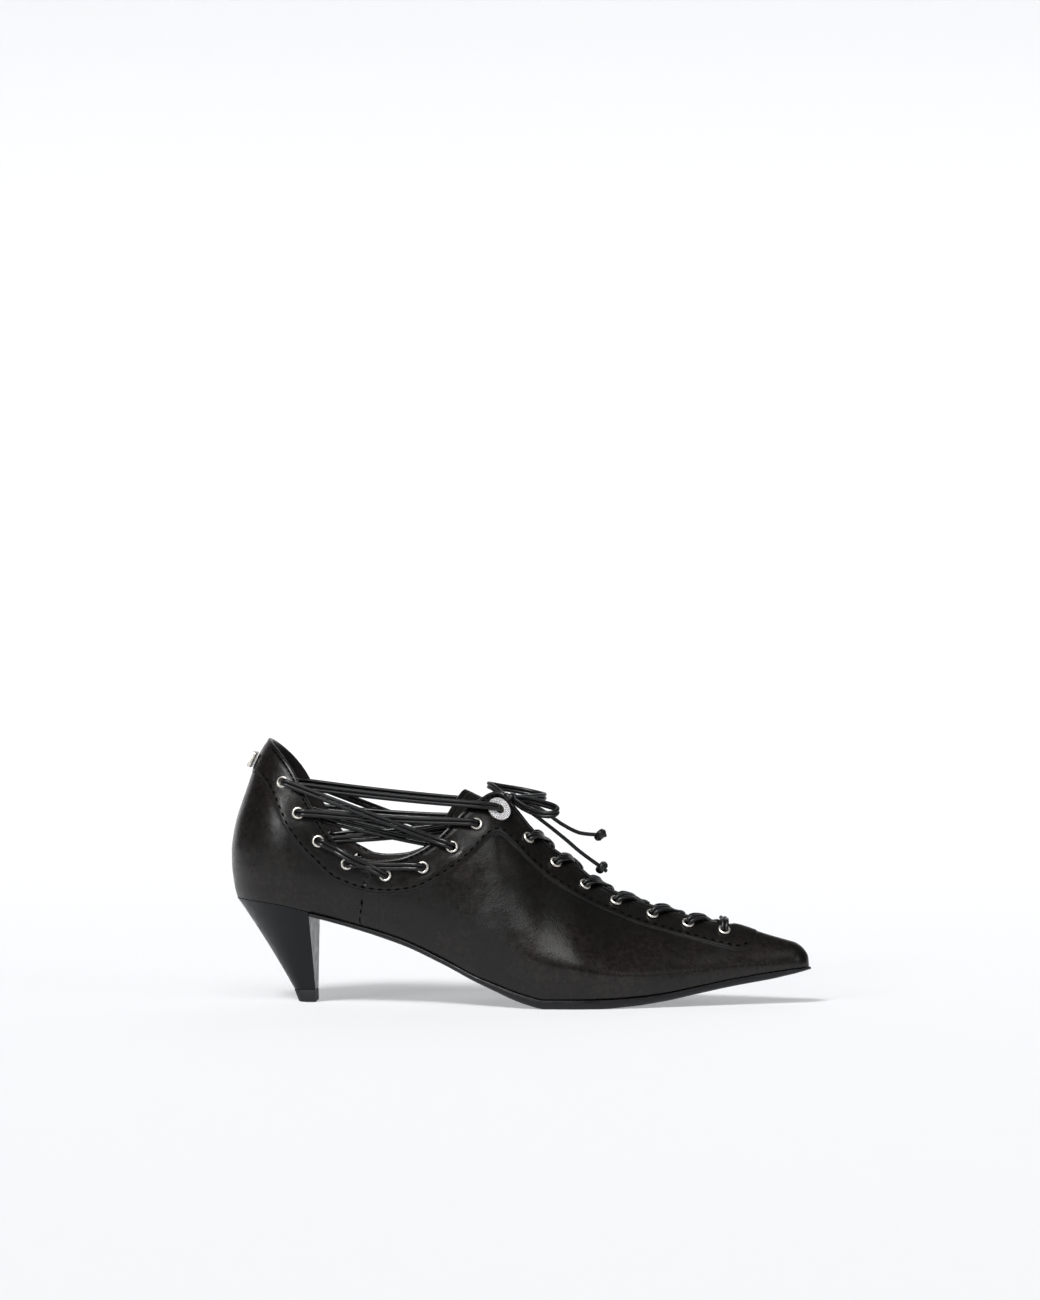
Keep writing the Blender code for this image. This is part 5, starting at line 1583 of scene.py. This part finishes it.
def build_stage():
    """A seamless pale sweep, softboxes, and the photograph's camera."""
    scene = bpy.context.scene
    scene.view_settings.view_transform = "Standard"
    turns = np.linspace(0, math.pi / 2, 16)
    radius, back, front, half, top = 0.9, 1.6, -1.0, 2.4, 3.2
    profile = [(front, 0.0), *((back + radius * math.sin(a), radius - radius * math.cos(a)) for a in turns)]
    profile.append((back + radius, top))
    mesh = bpy.data.meshes.new("sweep")
    mesh.from_pydata(
        [(x, y, z) for y, z in profile for x in (-half, half)], [],
        [(2 * i, 2 * i + 1, 2 * i + 3, 2 * i + 2) for i in range(len(profile) - 1)],
    )
    mesh.materials.append(finish("paper"))
    mesh.shade_smooth()
    sweep = bpy.data.objects.new("sweep", mesh)
    scene.collection.objects.link(sweep)

    world = bpy.data.worlds.new("studio")
    world.use_nodes = True
    tree = world.node_tree
    shown = add(tree, "ShaderNodeLightPath").outputs["Is Camera Ray"]
    # Only the camera sees the bright backdrop: the leather would mirror it.
    glow = add(
        tree, "ShaderNodeMapRange", {"Value": shown, "To Min": WORLD_GLOW, "To Max": BACKGROUND_GLOW}
    )
    tree.links.new(glow.outputs["Result"], tree.nodes["Background"].inputs["Strength"])
    tree.nodes["Background"].inputs["Color"].default_value = (*colours().paper, 1)
    scene.world = world
    far_softbox("front_softbox", (-0.42, -0.9, 1.1), 17, 3.4)
    far_softbox("top_softbox", (0.12, -0.62, 0.8), 26, 0.6)
    far_softbox("heel_softbox", (-0.6, -0.72, 0.33), 13, 0.75)
    far_softbox("toe_softbox", (0.9, -0.6, 0.45), 24, 0.25)

    azimuth, elevation = math.radians(VIEW_AZIMUTH), math.radians(VIEW_ELEVATION)
    level = math.cos(elevation)
    away = Vector((math.sin(azimuth) * level, -math.cos(azimuth) * level, math.sin(elevation)))
    focal = PIXELS_PER_MM * VIEW_DISTANCE * 1000
    lens = bpy.data.cameras.new("camera")
    lens.sensor_width = 36.0
    lens.lens = focal / FRAME_HEIGHT * lens.sensor_width
    lens.clip_end = 20.0
    camera = bpy.data.objects.new("camera", lens)
    scene.collection.objects.link(camera)
    camera.location = Vector(VIEW_AIM) + away * VIEW_DISTANCE
    camera.rotation_euler = (
        math.pi / 2 - elevation + math.atan(SHOE_BELOW_CENTRE / focal), 0.0,
        azimuth + math.atan(-SHOE_LEFT_OF_CENTRE / focal),
    )
    scene.camera = camera


# Operators and panel


class Builder:
    """What the operators share: each one makes its piece and finishes, or raises an error."""

    bl_options = {"REGISTER", "UNDO"}

    def execute(self, context):
        self.build()
        return {"FINISHED"}


class SHOE_OT_stage(Builder, bpy.types.Operator):
    """Make the sweep, the softboxes and the camera"""

    bl_idname = "shoe.stage"
    bl_label = "Stage"
    build = staticmethod(build_stage)


class SHOE_OT_bow(Builder, bpy.types.Operator):
    """Make the bow's knot, loops and ends"""

    bl_idname = "shoe.bow"
    bl_label = "Bow"
    build = staticmethod(build_bow)


class SHOE_OT_upper(Builder, bpy.types.Operator):
    """Make the leather upper"""

    bl_idname = "shoe.upper"
    bl_label = "Upper"
    build = staticmethod(build_upper)


class SHOE_OT_tongue(Builder, bpy.types.Operator):
    """Make the tongue"""

    bl_idname = "shoe.tongue"
    bl_label = "Tongue"
    build = staticmethod(build_tongue)


class SHOE_OT_insole(Builder, bpy.types.Operator):
    """Make the footbed"""

    bl_idname = "shoe.insole"
    bl_label = "Footbed"
    build = staticmethod(build_insole)


class SHOE_OT_outsole(Builder, bpy.types.Operator):
    """Make the outsole"""

    bl_idname = "shoe.outsole"
    bl_label = "Outsole"
    build = staticmethod(build_outsole)


class SHOE_OT_heel(Builder, bpy.types.Operator):
    """Make the heel and its top lift"""

    bl_idname = "shoe.heel"
    bl_label = "Heel"
    build = staticmethod(build_heel)


class SHOE_OT_stitches(Builder, bpy.types.Operator):
    """Sew the upper's stitches"""

    bl_idname = "shoe.stitches"
    bl_label = "Stitches"
    build = staticmethod(build_stitches)


class SHOE_OT_eyelets(Builder, bpy.types.Operator):
    """Set the small rings"""

    bl_idname = "shoe.eyelets"
    bl_label = "Eyelets"
    build = staticmethod(build_eyelets)


class SHOE_OT_top_eyelets(Builder, bpy.types.Operator):
    """Set the large rings and their stones"""

    bl_idname = "shoe.top_eyelets"
    bl_label = "Large eyelets"
    build = staticmethod(build_top_eyelets)


class SHOE_OT_side_laces(Builder, bpy.types.Operator):
    """Lace the open sides"""

    bl_idname = "shoe.side_laces"
    bl_label = "Side laces"
    build = staticmethod(build_side_laces)


class SHOE_OT_front_laces(Builder, bpy.types.Operator):
    """Lace the front"""

    bl_idname = "shoe.front_laces"
    bl_label = "Front laces"
    build = staticmethod(build_front_laces)


class SHOE_OT_badge(Builder, bpy.types.Operator):
    """Make the bare bar on the collar's back"""

    bl_idname = "shoe.badge"
    bl_label = "Badge"
    build = staticmethod(build_badge)


OPERATORS = (
    SHOE_OT_stage, SHOE_OT_bow, SHOE_OT_upper, SHOE_OT_tongue, SHOE_OT_insole, SHOE_OT_outsole,
    SHOE_OT_heel, SHOE_OT_stitches, SHOE_OT_eyelets, SHOE_OT_top_eyelets, SHOE_OT_side_laces,
    SHOE_OT_front_laces, SHOE_OT_badge,
)


class SHOE_PT_pieces(bpy.types.Panel):
    """The shoe's settings and its pieces"""

    bl_idname = "SHOE_PT_pieces"
    bl_label = "Lace Up Heel"
    bl_space_type = "VIEW_3D"
    bl_region_type = "UI"
    bl_category = "Shoe"

    def draw(self, context):
        for group in (context.scene.shoe_colours, context.scene.shoe_sizes):
            for name in group.bl_rna.properties.keys():
                if name not in {"name", "rna_type"}:
                    self.layout.prop(group, name)
        for operator in OPERATORS:
            self.layout.operator(operator.bl_idname)


CLASSES = (ShoeColours, ShoeSizes, *OPERATORS, SHOE_PT_pieces)


def register():
    """Adds the settings, the operators and the panel."""
    for made in CLASSES:
        bpy.utils.register_class(made)
    bpy.types.Scene.shoe_colours = PointerProperty(type=ShoeColours)
    bpy.types.Scene.shoe_sizes = PointerProperty(type=ShoeSizes)


def unregister():
    """Takes them away again."""
    del bpy.types.Scene.shoe_sizes
    del bpy.types.Scene.shoe_colours
    for made in reversed(CLASSES):
        bpy.utils.unregister_class(made)


def main():
    """Dresses the whole shoe."""
    register()
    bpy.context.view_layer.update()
    bpy.ops.shoe.stage()
    bpy.ops.shoe.bow()
    bpy.ops.shoe.upper()
    bpy.ops.shoe.tongue()
    bpy.ops.shoe.insole()
    bpy.ops.shoe.outsole()
    bpy.ops.shoe.heel()
    bpy.ops.shoe.stitches()
    bpy.ops.shoe.eyelets()
    bpy.ops.shoe.top_eyelets()
    bpy.ops.shoe.side_laces()
    bpy.ops.shoe.front_laces()
    bpy.ops.shoe.badge()


if __name__ == "__main__":
    main()
